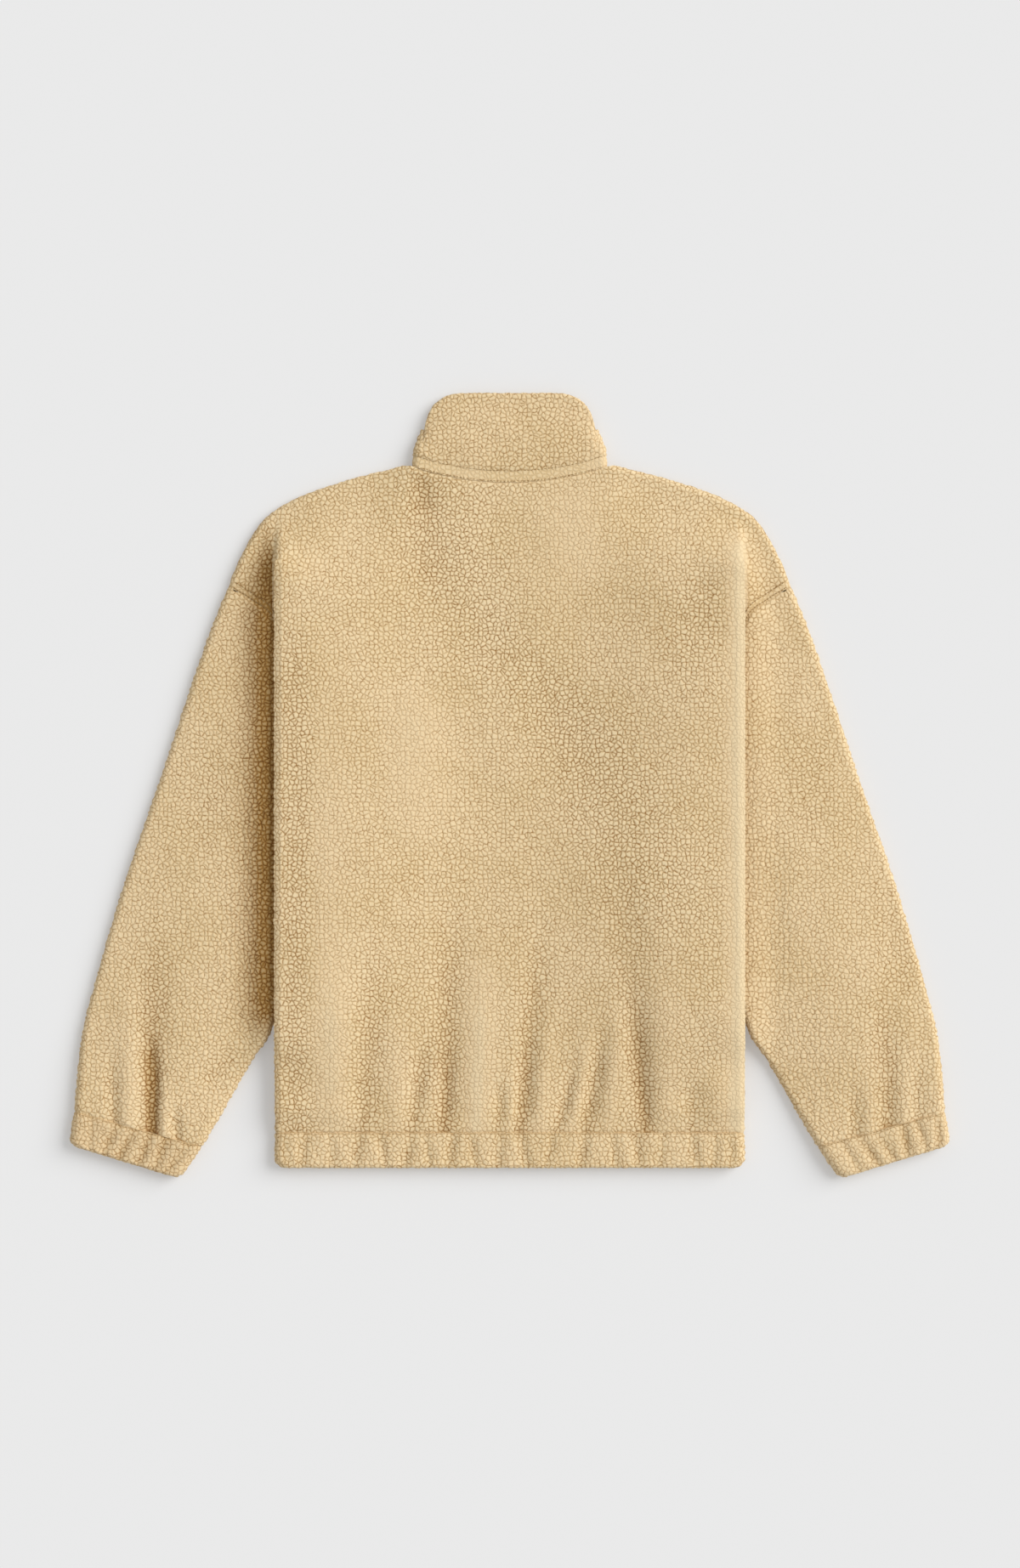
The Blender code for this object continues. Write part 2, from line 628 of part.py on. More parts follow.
def block(name, low, high, material, parent, bevel=0.0):
    """A box from one corner to the other, with its edges taken off."""
    bm = bmesh.new()
    low, high = Vector(low), Vector(high)
    bmesh.ops.create_cube(bm, size=1.0)
    bmesh.ops.scale(bm, vec=high - low, verts=bm.verts)
    bmesh.ops.translate(bm, vec=(low + high) / 2, verts=bm.verts)
    if bevel:
        bmesh.ops.bevel(bm, geom=bm.edges[:], offset=bevel, segments=1, affect="EDGES", profile=0.5)
    return add(name, bm, material, parent, smooth=False)


def combine(target, other, operation):
    """Joins a helper to a piece, or cuts it out."""
    modifier = target.modifiers.new(other.name, "BOOLEAN")
    modifier.operation = operation
    modifier.solver = "EXACT"
    modifier.object = other
    other.hide_render = True
    other.display_type = "WIRE"
    return target


def tape_slots(piece, low_y, high_y, material):
    """Cuts the slot on each side of a zip's hard piece that the tape's edge runs in."""
    for side, name in ((1, "right"), (-1, "left")):
        ends = sorted((side * CHAIN_HALF, side * 2 * TAPE_WIDTH))
        slot = block(f"cut_{piece.name}_{name}", (ends[0], low_y - 1, TAPE_Z - TAPE_SLOT),
                     (ends[1], high_y + 1, TAPE_Z + TAPE_SLOT), material, None)
        combine(piece, slot, "DIFFERENCE")


def zip_ends(teeth, parent):
    """The box at the foot of the zip, and the two stops above the slider."""
    top = ZIP_BOTTOM_Y + BOX_LENGTH
    box = block("zip_box", (-BOX_HALF, ZIP_BOTTOM_Y, TAPE_Z - BOX_THICK / 2),
                (BOX_HALF, top, TAPE_Z + BOX_THICK / 2), teeth, parent, bevel=0.4)
    tape_slots(box, ZIP_BOTTOM_Y, top, teeth)
    low = SLIDER_TOP_Y + SEAM
    for side, name in ((1, "right"), (-1, "left")):
        ends = sorted((side * SEAM, side * SLIDER_HALF))
        stop = block(f"zip_stop_{name}", (ends[0], low, TAPE_Z - STOP_THICK / 2),
                     (ends[1], low + STOP_LENGTH, TAPE_Z + STOP_THICK / 2), teeth, parent)
        tape_slots(stop, low, low + STOP_LENGTH, teeth)


def zip_slider(metal, parent):
    """Two plates round the chain, joined by a post at their top end, with the pull's crown below."""
    foot = SLIDER_TOP_Y - SLIDER_LENGTH
    slider = block("zip_slider", (-SLIDER_HALF, foot, SLIDER_LOW), (SLIDER_HALF, SLIDER_TOP_Y, SLIDER_HIGH),
                   metal, parent, bevel=0.5)
    channel = block("cut_chain", (-CHAIN_HALF - SEAM, foot - 5, SLIDER_LOW + PLATE),
                    (CHAIN_HALF + SEAM, SLIDER_TOP_Y + 5, SLIDER_HIGH - PLATE), metal, parent)
    slot = block("cut_tapes", (-2 * TAPE_WIDTH, foot - 5, TAPE_Z - TAPE_SLOT),
                 (2 * TAPE_WIDTH, SLIDER_TOP_Y + 5, TAPE_Z + TAPE_SLOT), metal, parent)
    post = block("post", (-1.4, SLIDER_TOP_Y - 0.5 - POST_LENGTH, SLIDER_LOW + 0.3),
                 (1.4, SLIDER_TOP_Y - 0.5, SLIDER_HIGH - 0.3), metal, parent)
    crown = block("crown", (-1, CROWN_Y - CROWN_HALF, CROWN_LOW),
                  (1, CROWN_Y + CROWN_HALF, SLIDER_LOW + 0.3), metal, parent)
    gap = CROWN_HALF - CROWN_WALL
    eye = block("cut_eye", (-5, CROWN_Y - gap, PULL_Z - SLIDER_LOW / 3.5),
                (5, CROWN_Y + gap, PULL_Z + SLIDER_LOW / 3.5), metal, parent)
    combine(slider, channel, "DIFFERENCE")
    combine(slider, slot, "DIFFERENCE")
    combine(slider, post, "UNION")
    combine(slider, crown, "UNION")
    combine(slider, eye, "DIFFERENCE")


def zip_pull(metal, parent):
    """A flat tab with an eye that turns under the crown."""
    hinge = bpy.data.objects.new("pull_hinge", None)
    bpy.context.scene.collection.objects.link(hinge)
    hinge.location = Vector((0, CROWN_Y, PULL_Z)) * MM
    hinge.parent = parent
    tab = block("zip_pull", (-PULL_HALF, -PULL_LENGTH, -PULL_THICK / 2), (PULL_HALF, 0.5, PULL_THICK / 2),
                metal, hinge, bevel=0.3)
    window = block("cut_window", (-1.4, -4.4, -2), (1.4, -0.5, 2), metal, hinge)
    combine(tab, window, "DIFFERENCE")


def main():
    for old in list(bpy.data.objects):
        bpy.data.objects.remove(old)
    jacket = bpy.data.objects.new("jacket", None)
    bpy.context.scene.collection.objects.link(jacket)
    fleece = colour("Sherpa fleece, polyester pile", FLEECE, 0.95)
    tape = colour("Zip tape, woven polyester", TAPE, 0.8)
    teeth = colour("Zip chain, nylon coil", TEETH, 0.45)
    metal = colour("Zip slider, die-cast zinc", METAL, 0.35, 0.9)

    right = panel(1, 1, BACK_COLUMNS)
    left = panel(1, -1, BACK_COLUMNS)
    cloth("back", [list(reversed(a))[:-1] + b for a, b in zip(left, right)], fleece, jacket)
    for side, name in ((1, "right"), (-1, "left")):
        cloth(f"front_{name}", panel(-1, side, FRONT_COLUMNS), fleece, jacket)
        cloth(f"sleeve_{name}", sleeve(side), fleece, jacket, tube=True)
        rings = cuff() if side > 0 else mirrored(cuff())
        cloth(f"cuff_{name}", rings, fleece, jacket, tube=True)
    cloth("hem_band", both_halves([hem_row(*row) for row in BAND_PROFILE]), fleece, jacket)
    cloth("collar", both_halves([collar_row(*row) for row in BAND_PROFILE]), fleece, jacket)

    for side, name in ((1, "right"), (-1, "left")):
        ends = sorted((side * (CHAIN_HALF + SEAM), side * (CHAIN_HALF + SEAM + TAPE_WIDTH)))
        block(f"zip_tape_{name}", (ends[0], ZIP_BOTTOM_Y, TAPE_Z - TAPE_THICK / 2),
              (ends[1], ZIP_TOP_Y, TAPE_Z + TAPE_THICK / 2), tape, jacket)
    block("zip_chain", (-CHAIN_HALF, ZIP_BOTTOM_Y + BOX_LENGTH + SEAM, TAPE_Z - CHAIN_THICK / 2),
          (CHAIN_HALF, SLIDER_TOP_Y - POST_LENGTH - 1, TAPE_Z + CHAIN_THICK / 2), teeth, jacket)
    zip_ends(teeth, jacket)
    zip_slider(metal, jacket)
    zip_pull(metal, jacket)


main()
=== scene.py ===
"""Looks of a sherpa fleece zip-up jacket that lies flat on its front, back uppermost.

Lengths are in millimetres until a mesh is made, and MM turns them into metres. Each cloth
piece starts as a coarse lattice of (middle, outward face, wall), which follows the cut and
the way the jacket is folded. The lattice is resampled to a fine grid, the soft folds and
stitch furrows are pressed into it, and the curls of the pile are raised on its outer side.
"""

import math
from collections import namedtuple
from functools import lru_cache, partial
from itertools import product

import bmesh
import bpy
import numpy as np
from mathutils import Matrix, Vector


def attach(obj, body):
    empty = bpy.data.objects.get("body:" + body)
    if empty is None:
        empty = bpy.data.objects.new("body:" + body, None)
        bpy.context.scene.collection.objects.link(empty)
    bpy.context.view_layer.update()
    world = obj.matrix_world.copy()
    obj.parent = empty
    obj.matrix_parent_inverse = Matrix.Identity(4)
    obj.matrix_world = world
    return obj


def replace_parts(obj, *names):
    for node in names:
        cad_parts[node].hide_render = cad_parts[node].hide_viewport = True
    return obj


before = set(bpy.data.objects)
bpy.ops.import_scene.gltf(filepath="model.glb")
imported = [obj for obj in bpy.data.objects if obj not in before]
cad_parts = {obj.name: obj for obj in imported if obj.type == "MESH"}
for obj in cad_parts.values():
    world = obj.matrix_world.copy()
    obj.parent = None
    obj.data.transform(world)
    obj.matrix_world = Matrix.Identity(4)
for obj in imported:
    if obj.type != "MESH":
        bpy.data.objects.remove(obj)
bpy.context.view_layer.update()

MM = 0.001
SHARP = 62  # degrees between faces, past which an edge stays sharp


def table(kind, *rows):
    return [kind(*row) for row in rows]


def curve(*points):
    return [Vector(point) for point in points]


# Cloth
WALL = 4.5
AIR = 0.6
LAYER = WALL + AIR
SEAM = 0.08
BAND_WALL = 8.0
COLLAR_WALL = 6.5
TURN = LAYER / 2

# Body
SIDE_X = 235.0
HEM_Y = -384.0
HEM_SEAM_Y = -349.0
NECK_X = 98.0
NECK_END_Y = 318.0
NECK_BACK_Y = 302.0
NECK_FRONT_Y = 262.0
CENTRE_Z = 13.5
HEM_Z = 12.6
FALL = 175.0
EVENING = 45.0  # over this the field evens out the steps in the side fold's height
HEM_RUN = 110.0
NECK_RUN = 70.0
SHOULDER_RUN = 45.0
CORNER_RUN = 15.0
TOP_RUN = 60.0
SETTLING = 0.8
UNDERARM_Y = -50.0
FOLD_TOP_Y = 273.0
FOLD_X = SIDE_X - WALL / 2 - TURN
CAP_X = FOLD_X + math.pi * TURN  # where the drop shoulder starts, at the top
ZIP_GAP = 5.5
ZIP_CLEAR_Z = 9.4
ZIP_RUN = 40.0
TAPE_WIDTH = 13.0

# Sleeves
CLEAR = 3.0
STEP_DOWN = 32.0
SLEEVE_DOWN_Y = -305.0
SLEEVE_DOWN_RUN = 70.0
CUFF_SHARE = 0.8
SHOULDER_PUFF = 0.7
SLEEVE_PUFF = 3.2
CUFF_PUFF = -0.4

# Collar
COLLAR_Z = 11.3
COLLAR_DROOP = 4.6
COLLAR_BULGE = 2.4
COLLAR_FRONT_Y = 340.0
HEM_CORNER = 10.0
CUFF_HEIGHT = 34.0
CUFF_CORNER = 8.0

# Pile
CURL = 4.5  # across one curl of the boucle
CLUMP = 6.2  # across the clumps of curls, which the mesh is fine enough to raise
CLUMP_RISE = 0.5
PLAIN = 4.2  # between points of the mesh where it lies on the floor or between layers

# Stitches and teeth
FURROW = 0.8  # how deep a seam draws the cloth in
STITCH_PITCH = 3.4
STITCH_LENGTH = 3.0
STITCH_WIDTH = 1.1
FINE_STITCH = 0.7
NECK_LINES = (0.9, 11.4)
ARMHOLE_LINES = (1.3, 6.8)
BAND_LINES = (0.9,)
TOOTH_PITCH = 1.6
TOOTH_REACH = 3.3
TOOTH_EDGE = 0.25

# How the lattices are divided
TURN_STEPS = 6
CAP_COLUMNS = 8
EDGE_ROWS = 6
SLEEVE_RINGS = 26
CUFF_STEPS = 8
HEM_STEPS = 16
BAND_ROWS = (0, 0.09, 0.18, 0.27, 0.36, 0.45, 0.54, 0.63, 0.72, 0.8, 0.86, 0.91, 0.945, 0.97, 0.988, 1)
BAND_MARKS = (0, BAND_ROWS.index(0.86), len(BAND_ROWS) - 1)
BAND_STEPS = (1.9, 0.9)  # between rows of the fine mesh: closer round the fold

Pleat = namedtuple("Pleat", "y turn run height")
PLEATS = table(Pleat,
    (HEM_SEAM_Y, 90, 0.0, 12.6),
    (-320, 180, 1.0, 19.0),
    (-290, 180, 9.0, 19.4),
    (-245, 180, 17.0, 27.75),
    (-60, 180, 39.0, 27.75),
    (70, 180, 22.0, 27.75),
    (195, 180, 2.0, 27.75),
    (273, 0, 0.0, 7.35),
)
SECTIONS = (HEM_SEAM_Y, -341, -334, -325, -316, -306, -295, -283, -270, -258, -245, -218, -190, -158, -125,
            -100, -75, -60, -40, -5, 30, 62, 95, 123, 150, 168, 185, 199, 212, 224, 236, 246, 256, 265)
FIRST_CAP = SECTIONS.index(-40)

SHOULDER = curve((98, 318), (105, 318.6), (124, 314), (163, 304), (211, 287), (240, 270), (252, 257),
                 (267, 232), (282, 198))
ARMHOLE = curve((282, 198), (257, 183), (237, 165), (226, 115), (215, 35), (205, -40))
SLEEVE_OUTER = curve((282, 198), (299, 155), (317, 104), (351, 2), (386, -100), (416, -202), (429, -257),
                     (436, -328))
SLEEVE_INNER = curve((205, -40), (217, -150), (236, -240), (259, -278), (288, -329), (308, -363))
CUFF_OUTER = curve((436, -328), (441, -361))
CUFF_INNER = curve((308, -363), (330, -395))
COLLAR_TOP = curve((0, 391.6), (45, 391.4), (64, 388.5), (78, 377), (88, 355))

COLLAR_SIDE = Vector((COLLAR_TOP[-1].y - NECK_END_Y, NECK_X - COLLAR_TOP[-1].x)).normalized()
COLLAR_REACH = (COLLAR_Z + COLLAR_WALL / 2) / 2
COLLAR_FOOT = Vector((NECK_X, NECK_END_Y)) - COLLAR_SIDE * COLLAR_REACH

BACK_NECK = (0, 12, 23, 35, 46, 57, 68, 78, 85, 89)
FRONT_NECK = (ZIP_GAP, 14, 24, 36, 48, 59, 70, 80, 86, 89.5)
BACK_COLUMNS = (*BACK_NECK, COLLAR_FOOT.x, NECK_X, 109, 120, 131, 143, 154, 166, 178, 189, 200, 211, 220,
                226, 229)
FRONT_COLUMNS = (*FRONT_NECK, COLLAR_FOOT.x, NECK_X, 120, 143, 166, 189, 211, 224, 229)
HEM_FRONT_COLUMNS = (ZIP_GAP, 12, 20, 30, 45, 70, 100, 130, 160, 185)
NEAR_TURN = (0.006, 0.02, 0.05)  # shares of a width, where columns close up before a turn

# Soft folds: from a faint end (0) to a strong end (1), with the strong end's half width, its
# rise or, below zero, its depth, how much wider the faint end is, and how far its middle bows out.
Fold = namedtuple("Fold", "x0 y0 x1 y1 width rise spread bow", defaults=(1.6, 0.0))
BACK_FOLDS = table(Fold,
    # From the neck's left corner down across the shoulders.
    (-62, 150, -84, 296, 18, -1.7, 2.0, 8),
    (-90, 262, -86, 300, 10, -1.2),
    (118, -70, -24, 150, 30, -1.3, 1.3, -14),
    (196, 120, 194, 190, 20, -1.2),
    (-88, -80, -90, 60, 30, 1.8, 1.2),
    (-6, 40, 60, 262, 40, 1.2, 1.3),
    # Gathers that rise from the hem band, and the smooth crowns between them.
    (-134, -140, -148, -350, 12, -2.2, 1.8, 2),
    (-81, -235, -98, -350, 7, -2.5, 1.6),
    (-54, -80, -64, -350, 11, -2.5, 1.8, -2),
    (-60, -248, -66, -350, 5, -1.4),
    (-8, -292, -11, -350, 5, -1.9),
    (31, -125, 11, -350, 9, -2.5, 1.7, 2),
    (18, -246, 10, -350, 5, -1.2),
    (71, -262, 47, -350, 6, -2.6, 1.5),
    (97, -230, 75, -350, 7, -2.9, 1.6),
    (92, 10, 134, -350, 13, -1.5, 2.0, 6),
    (122, -190, 137, -350, 8, -2.9, 1.6),
    (180, -285, 184, -350, 8, -1.7),
    (-176, -120, -174, -350, 16, 1.7, 1.7),
    (-111, -220, -115, -350, 9, 1.2),
    (-31, -120, -34, -350, 13, 1.7, 1.8, 2),
    (3, -280, 0, -350, 6, 1.2),
    (37, -205, 29, -350, 8, 1.6),
    (84, -215, 61, -350, 8, 1.5, 1.6),
    (110, -180, 99, -350, 9, 1.6, 1.7),
    (156, -120, 154, -350, 17, 1.7, 1.7),
    (206, -270, 208, -350, 10, 1.1),
)
# Where the pile lies closer (above zero) or is brushed smoother (below) than around it, laid out
# as the folds are.
BACK_PRESSED = table(Fold,
    (-5, 110, -72, 292, 36, 0.9, 1.3),
    (-40, 180, 76, 52, 36, 0.8),
    (190, -180, 98, 4, 44, 1.0, 1.2),
    (184, -60, 158, -320, 40, 0.2, 1.0),
    (178, 70, 184, 175, 24, 0.6),
    (-96, 120, -104, 15, 26, -0.4),
    (70, 190, 66, 286, 26, -0.6),
    (-180, 190, -182, -300, 18, -0.6, 1.2),
    (-31, -130, -34, -350, 14, -0.7, 1.4, 2),
)
FRONT_FOLDS = table(Fold,
    (150, -250, 154, -350, 11, -2.6),
    (92, -170, 88, -350, 12, -3.0, 1.8),
    (44, -262, 46, -350, 8, -2.4),
    (190, -280, 188, -350, 9, -2.2),
)
LEFT_SLEEVE_FOLDS = table(Fold,
    (-350, -120, -361, -350, 13, -2.9, 2.0, -4),
    (-361, -245, -358, -352, 5, -5.4, 1.8, 2),
    (-398, -262, -396, -338, 6, -2.2, 1.7),
    (-336, -318, -332, -362, 5, -2.4),
    (-377, -180, -380, -350, 10, 1.9, 1.7),
    (-346, -290, -346, -362, 6, 1.8),
    (-266, -262, -296, -292, 12, -1.4),
    (-300, 60, -300, -40, 26, -1.0),
)
RIGHT_SLEEVE_FOLDS = table(Fold,
    (372, -196, 379, -350, 11, -2.7, 2.0, 4),
    (388, -70, 396, -190, 26, -1.2),
    (406, -258, 408, -345, 8, -1.6, 1.7),
    (345, -290, 346, -362, 7, -1.6),
    (394, -230, 394, -345, 10, 1.4, 1.7),
    (360, -290, 361, -360, 7, 1.1),
    (300, 90, 298, -30, 26, -1.0),
)

# Where the elastic draws the bands into troughs: the place along the band, how wide and
# deep the trough is, and how far it leans over the band's height. Beneath they are shallower.
RUCK_BENEATH = 0.7
Ruck = namedtuple("Ruck", "at width depth lean")
HEM_RUCKS = table(Ruck,
    (-224, 5, 1.0, 2), (-206, 6, 1.8, -2), (-178, 5, 1.4, 1), (-153, 6, 2.2, -3),
    (-127, 5, 1.8, 3), (-102, 6, 2.1, -4), (-82, 4, 1.3, 2), (-59, 6, 2.4, -2),
    (-37, 5, 1.5, 3), (-11, 6, 2.1, -1), (14, 6, 2.2, 3), (40, 5, 1.8, -4),
    (73, 6, 2.2, -3), (104, 5, 1.7, 2), (128, 6, 2.2, 1), (151, 5, 1.5, -2),
    (184, 6, 2.0, 3), (205, 5, 1.4, -2), (222, 5, 1.0, 1),
)
LEFT_CUFF_RUCKS = table(Ruck,
    (12, 4, 1.1, 2), (31, 5, 2.0, -3), (47, 5, 2.2, -2), (66, 5, 2.1, 2),
    (82, 5, 2.2, 3), (98, 4, 1.7, -2), (114, 4, 1.1, 1),
)
RIGHT_CUFF_RUCKS = table(Ruck,
    (14, 4, 1.3, -1), (33, 5, 2.0, 2), (50, 5, 1.7, 3), (69, 5, 2.2, -3),
    (86, 4, 1.8, 2), (103, 5, 2.0, -2), (118, 4, 1.1, 1),
)


def mix(a, b, t):
    return a + (b - a) * t


def unit(t):
    """Held to 0 to 1, for a number or an array."""
    return np.clip(t, 0.0, 1.0)


def ease(t):
    """0 to 1 with a level start and end."""
    t = unit(t)
    return t * t * (3 - 2 * t)


@lru_cache(None)
def pleat(y, column):
    """A column of the side fold's table at this height, eased from row to row."""
    for low, high in zip(PLEATS, PLEATS[1:]):
        if y <= high.y:
            return mix(getattr(low, column), getattr(high, column), ease((y - low.y) / (high.y - low.y)))
    return getattr(PLEATS[-1], column)


def on_curve(points, t):
    """The point at this share of the length of a smooth curve through the points."""
    spans = [(b - a).length for a, b in zip(points, points[1:])]
    left = float(unit(t)) * sum(spans)
    i = 0
    while left > spans[i] and i < len(spans) - 1:
        left -= spans[i]
        i += 1
    a, b, c, d = [2 * points[0] - points[1], *points, 2 * points[-1] - points[-2]][i:i + 4]
    t = left / spans[i]
    return 0.5 * (2 * b + (c - a) * t + (2 * a - 5 * b + 4 * c - d) * t**2 + (3 * b - a - 3 * c + d) * t**3)


def across(points, t):
    """The unit normal of that curve in plan, to the left of its run."""
    step = on_curve(points, t + 0.01) - on_curve(points, t - 0.01)
    return Vector((-step.y, step.x)).normalized()


@lru_cache(None)
def shoulder_share(x):
    """The share of the shoulder seam's length at which it passes x."""
    low, high = 0.0, 1.0
    for _ in range(30):
        half = (low + high) / 2
        low, high = (half, high) if on_curve(SHOULDER, half).x < x else (low, half)
    return low


def bend(x, z, heading, length, turn, steps):
    """Points (x, z, heading) along a stretch of cloth's middle that turns evenly."""
    found = []
    for i in range(1, steps + 1):
        half = turn * i / steps / 2
        chord = length * i / steps * float(np.sinc(half / math.pi))
        found.append((x + chord * math.cos(heading + half), z + chord * math.sin(heading + half),
                      heading + 2 * half))
    return found


def turn_length(turn):
    return TURN * max(turn, math.pi / 2)


def drop(y):
    """How far the pleat takes the cloth down, from a panel's field to the drop shoulder."""
    turn = math.radians(pleat(y, "turn"))
    if turn < 1e-3:
        return 0.0
    return 2 * turn_length(turn) / turn * (1 - math.cos(turn)) + pleat(y, "run") * math.sin(turn)


def lift(y):
    """How far the front's folded side raises the drop shoulder or sleeve that lies on it."""
    return drop(y) if y > UNDERARM_Y else 2 * LAYER * ease((y - SLEEVE_DOWN_Y) / SLEEVE_DOWN_RUN)


def fold_top(y):
    """Height of the back's cloth at the side fold."""
    return LAYER + WALL / 2 + 2 * drop(y) if y > UNDERARM_Y else pleat(y, "height")


def outside(x):
    """0 under the body's edge, 1 well clear of it."""
    return ease((abs(x) - SIDE_X - CLEAR) / STEP_DOWN)


def arm_height(x, y, puff, side):
    """Height of the cloth's middle on a sleeve or drop shoulder: side 1 above, -1 below."""
    half = TURN + puff * outside(x)
    return WALL / 2 + half + lift(y) * (1 - outside(x)) + side * half


def seam_z(x):
    """Height of the back's cloth just inside its neck and shoulder seams."""
    puff = 2 * SHOULDER_PUFF * max((x - CAP_X) / (SHOULDER[-1].x - CAP_X), 0.0)
    return mix(COLLAR_Z, LAYER + WALL / 2, ease((x - NECK_X) / SHOULDER_RUN)) + puff


def back_height(x, y, edge_y, edge_z):
    """Height of the middle of the back's cloth inside its side folds, before its soft folds."""
    centre = mix(HEM_Z, CENTRE_Z, ease((y - HEM_SEAM_Y) / HEM_RUN))
    centre = mix(edge_z, centre, ease((edge_y - y) / NECK_RUN))
    start = FOLD_X - pleat(y, "run") - TURN - FALL
    exact = max(ease((abs(x) - FOLD_X) / EVENING + 1), ease((HEM_SEAM_Y - y) / EVENING + 1))
    evened = sum(fold_top(y + EVENING * share) for share in (-0.7, -0.35, 0, 0.35, 0.7)) / 5
    return mix(centre, mix(evened, fold_top(y), exact), ease((abs(x) - start) / FALL))


def neck_seam(x, side):
    """(point, outward normal) on a panel's neck seam."""
    middle, power = (NECK_BACK_Y, 2.0) if side > 0 else (NECK_FRONT_Y, 2.5)
    rise = NECK_END_Y - middle
    slope = rise * power / NECK_X * (x / NECK_X) ** (power - 1)
    return Vector((x, middle + rise * (x / NECK_X) ** power)), Vector((-slope, 1)).normalized()


def level(plan, z, side, wall=WALL):
    """A lattice point of cloth that lies level, with its outer side up (1) or down (-1)."""
    return Vector((*plan, z)), Vector((0, 0, side)), wall


@lru_cache(None)
def turned_edge(x, side, steps=1):
    """(point just inside, height there, lattice points) where a panel turns over its top edge."""
    if x < NECK_X:
        (point, normal), turned = neck_seam(x, side), 0.0
    else:
        share = shoulder_share(x)
        point, normal = on_curve(SHOULDER, share), across(SHOULDER, share)
        turned = ease((x - NECK_X) / CORNER_RUN)
    z = seam_z(x) if side > 0 else WALL / 2
    length = (seam_z(x) - WALL / 2 - SEAM) * math.pi / 4
    angle = turned * math.pi / 2
    reach = length * float(np.sinc(angle / math.pi)) + WALL / 2 * math.sin(angle)
    inside = point - normal * (reach + SEAM / 2 * (1 - turned))
    column = []
    for out, up, heading in bend(0.0, 0.0, 0.0, length, -angle, steps):
        face = Vector((*(normal * -math.sin(heading)), side * math.cos(heading)))
        column.append((Vector((*(inside + normal * out), z + side * up)), face, WALL))
    return inside, z, column


@lru_cache(None)
def pleat_path(y, steps):
    """Points (x, height over the layers' middle, heading) from the side fold to the drop shoulder or
    the side seam."""
    turn = math.radians(pleat(y, "turn"))
    path = bend(FOLD_X, (fold_top(y) - WALL / 2) / 2, 0.0, turn_length(turn), -turn, steps)
    path += bend(*path[-1], max(pleat(y, "run"), 0.05), 0.0, 1)
    if y > UNDERARM_Y:
        return path + bend(*path[-1], turn_length(turn), turn, steps)
    back = turn - math.pi / 2
    path += bend(*path[-1], max(TURN * back, 0.3), back, steps)
    return [*path, (path[-1][0], SEAM / 2, path[-1][2])]


def edge_columns(columns):
    """Where each column of a panel meets its top edge, from the centre line."""
    path = [x for x, _, _ in pleat_path(FOLD_TOP_Y, TURN_STEPS)]
    cap = [mix(path[-1], SHOULDER[-1].x, (i + 1) / CAP_COLUMNS) for i in range(CAP_COLUMNS)]
    return [*columns, FOLD_X, *path, *cap]


def armhole(share, clear):
    """A point this far from the armhole seam, on the sleeve's side of it."""
    return on_curve(ARMHOLE, share) + across(ARMHOLE, share) * clear


def drop_shoulder(side, y_fold, start, to_top, at_edge):
    """The rest of a section, from the pleat line out to the armhole seam."""
    seam = armhole((FOLD_TOP_Y - y_fold) / (FOLD_TOP_Y - SECTIONS[FIRST_CAP]), -SEAM / 2)
    edge = [turned_edge(x, side)[0] for x in at_edge]
    row = []
    for i in range(1, CAP_COLUMNS + 1):
        t = i / CAP_COLUMNS
        bulge = edge[i] - edge[0].lerp(edge[-1], t)
        plan = start.lerp(edge[-1] if y_fold == FOLD_TOP_Y else seam, t) + bulge * to_top
        row.append(level(plan, arm_height(plan.x, y_fold, SHOULDER_PUFF * t, side), side))
    return row


def panel_row(side, columns, y_fold):
    """A section of half the back (side 1) or of a front (side -1), from the centre out."""
    share = (y_fold - HEM_SEAM_Y) / (FOLD_TOP_Y - HEM_SEAM_Y)
    at_edge = edge_columns(columns)
    row = []
    for x in at_edge[:len(columns) + 1]:
        inside, z, _ = turned_edge(x, side)
        plan = Vector((x, HEM_SEAM_Y + SEAM / 2)).lerp(inside, share)
        row.append(level(plan, back_height(*plan, inside.y, z) if side > 0 else z, side))
    start = row[-1][0]
    y_edge = inside.y
    to_top = ease(1 - (FOLD_TOP_Y - y_fold) / TOP_RUN)
    middle = (fold_top(y_fold) + WALL / 2) / 2
    for x, z, heading in pleat_path(y_fold, TURN_STEPS):
        plan = Vector((x, start.y))
        if to_top:
            inside = turned_edge(x, side)[0]
            plan += Vector((inside.x - x, inside.y - y_edge)) * to_top
        face = Vector((-math.sin(heading), 0, side * math.cos(heading)))
        row.append((Vector((*plan, middle + side * z)), face, WALL))
    if y_fold < UNDERARM_Y:
        return row
    return row + drop_shoulder(side, y_fold, row[-1][0].xy, to_top, at_edge[-CAP_COLUMNS - 1:])


def panel(side, columns):
    """Half of the back, or the right front, from the hem to the shoulder seam."""
    edge = [turned_edge(x, side, EDGE_ROWS)[2] for x in edge_columns(columns)]
    return [panel_row(side, columns, y) for y in (*SECTIONS, FOLD_TOP_Y)] + [list(row) for row in zip(*edge)]


def round_turn(centre, normal, low, high, wall, side=1, steps=range(1, TURN_STEPS + 1)):
    """Lattice points round a turn, from the upper layer to the lower one, or back with side -1."""
    found = []
    for k in steps:
        angle = math.pi * k / (TURN_STEPS + 1)
        face = Vector((*(normal * math.sin(angle)), math.cos(angle) * side))
        found.append((Vector((*centre, (low + high) / 2)) + face * (high - low) / 2, face, wall))
    return found


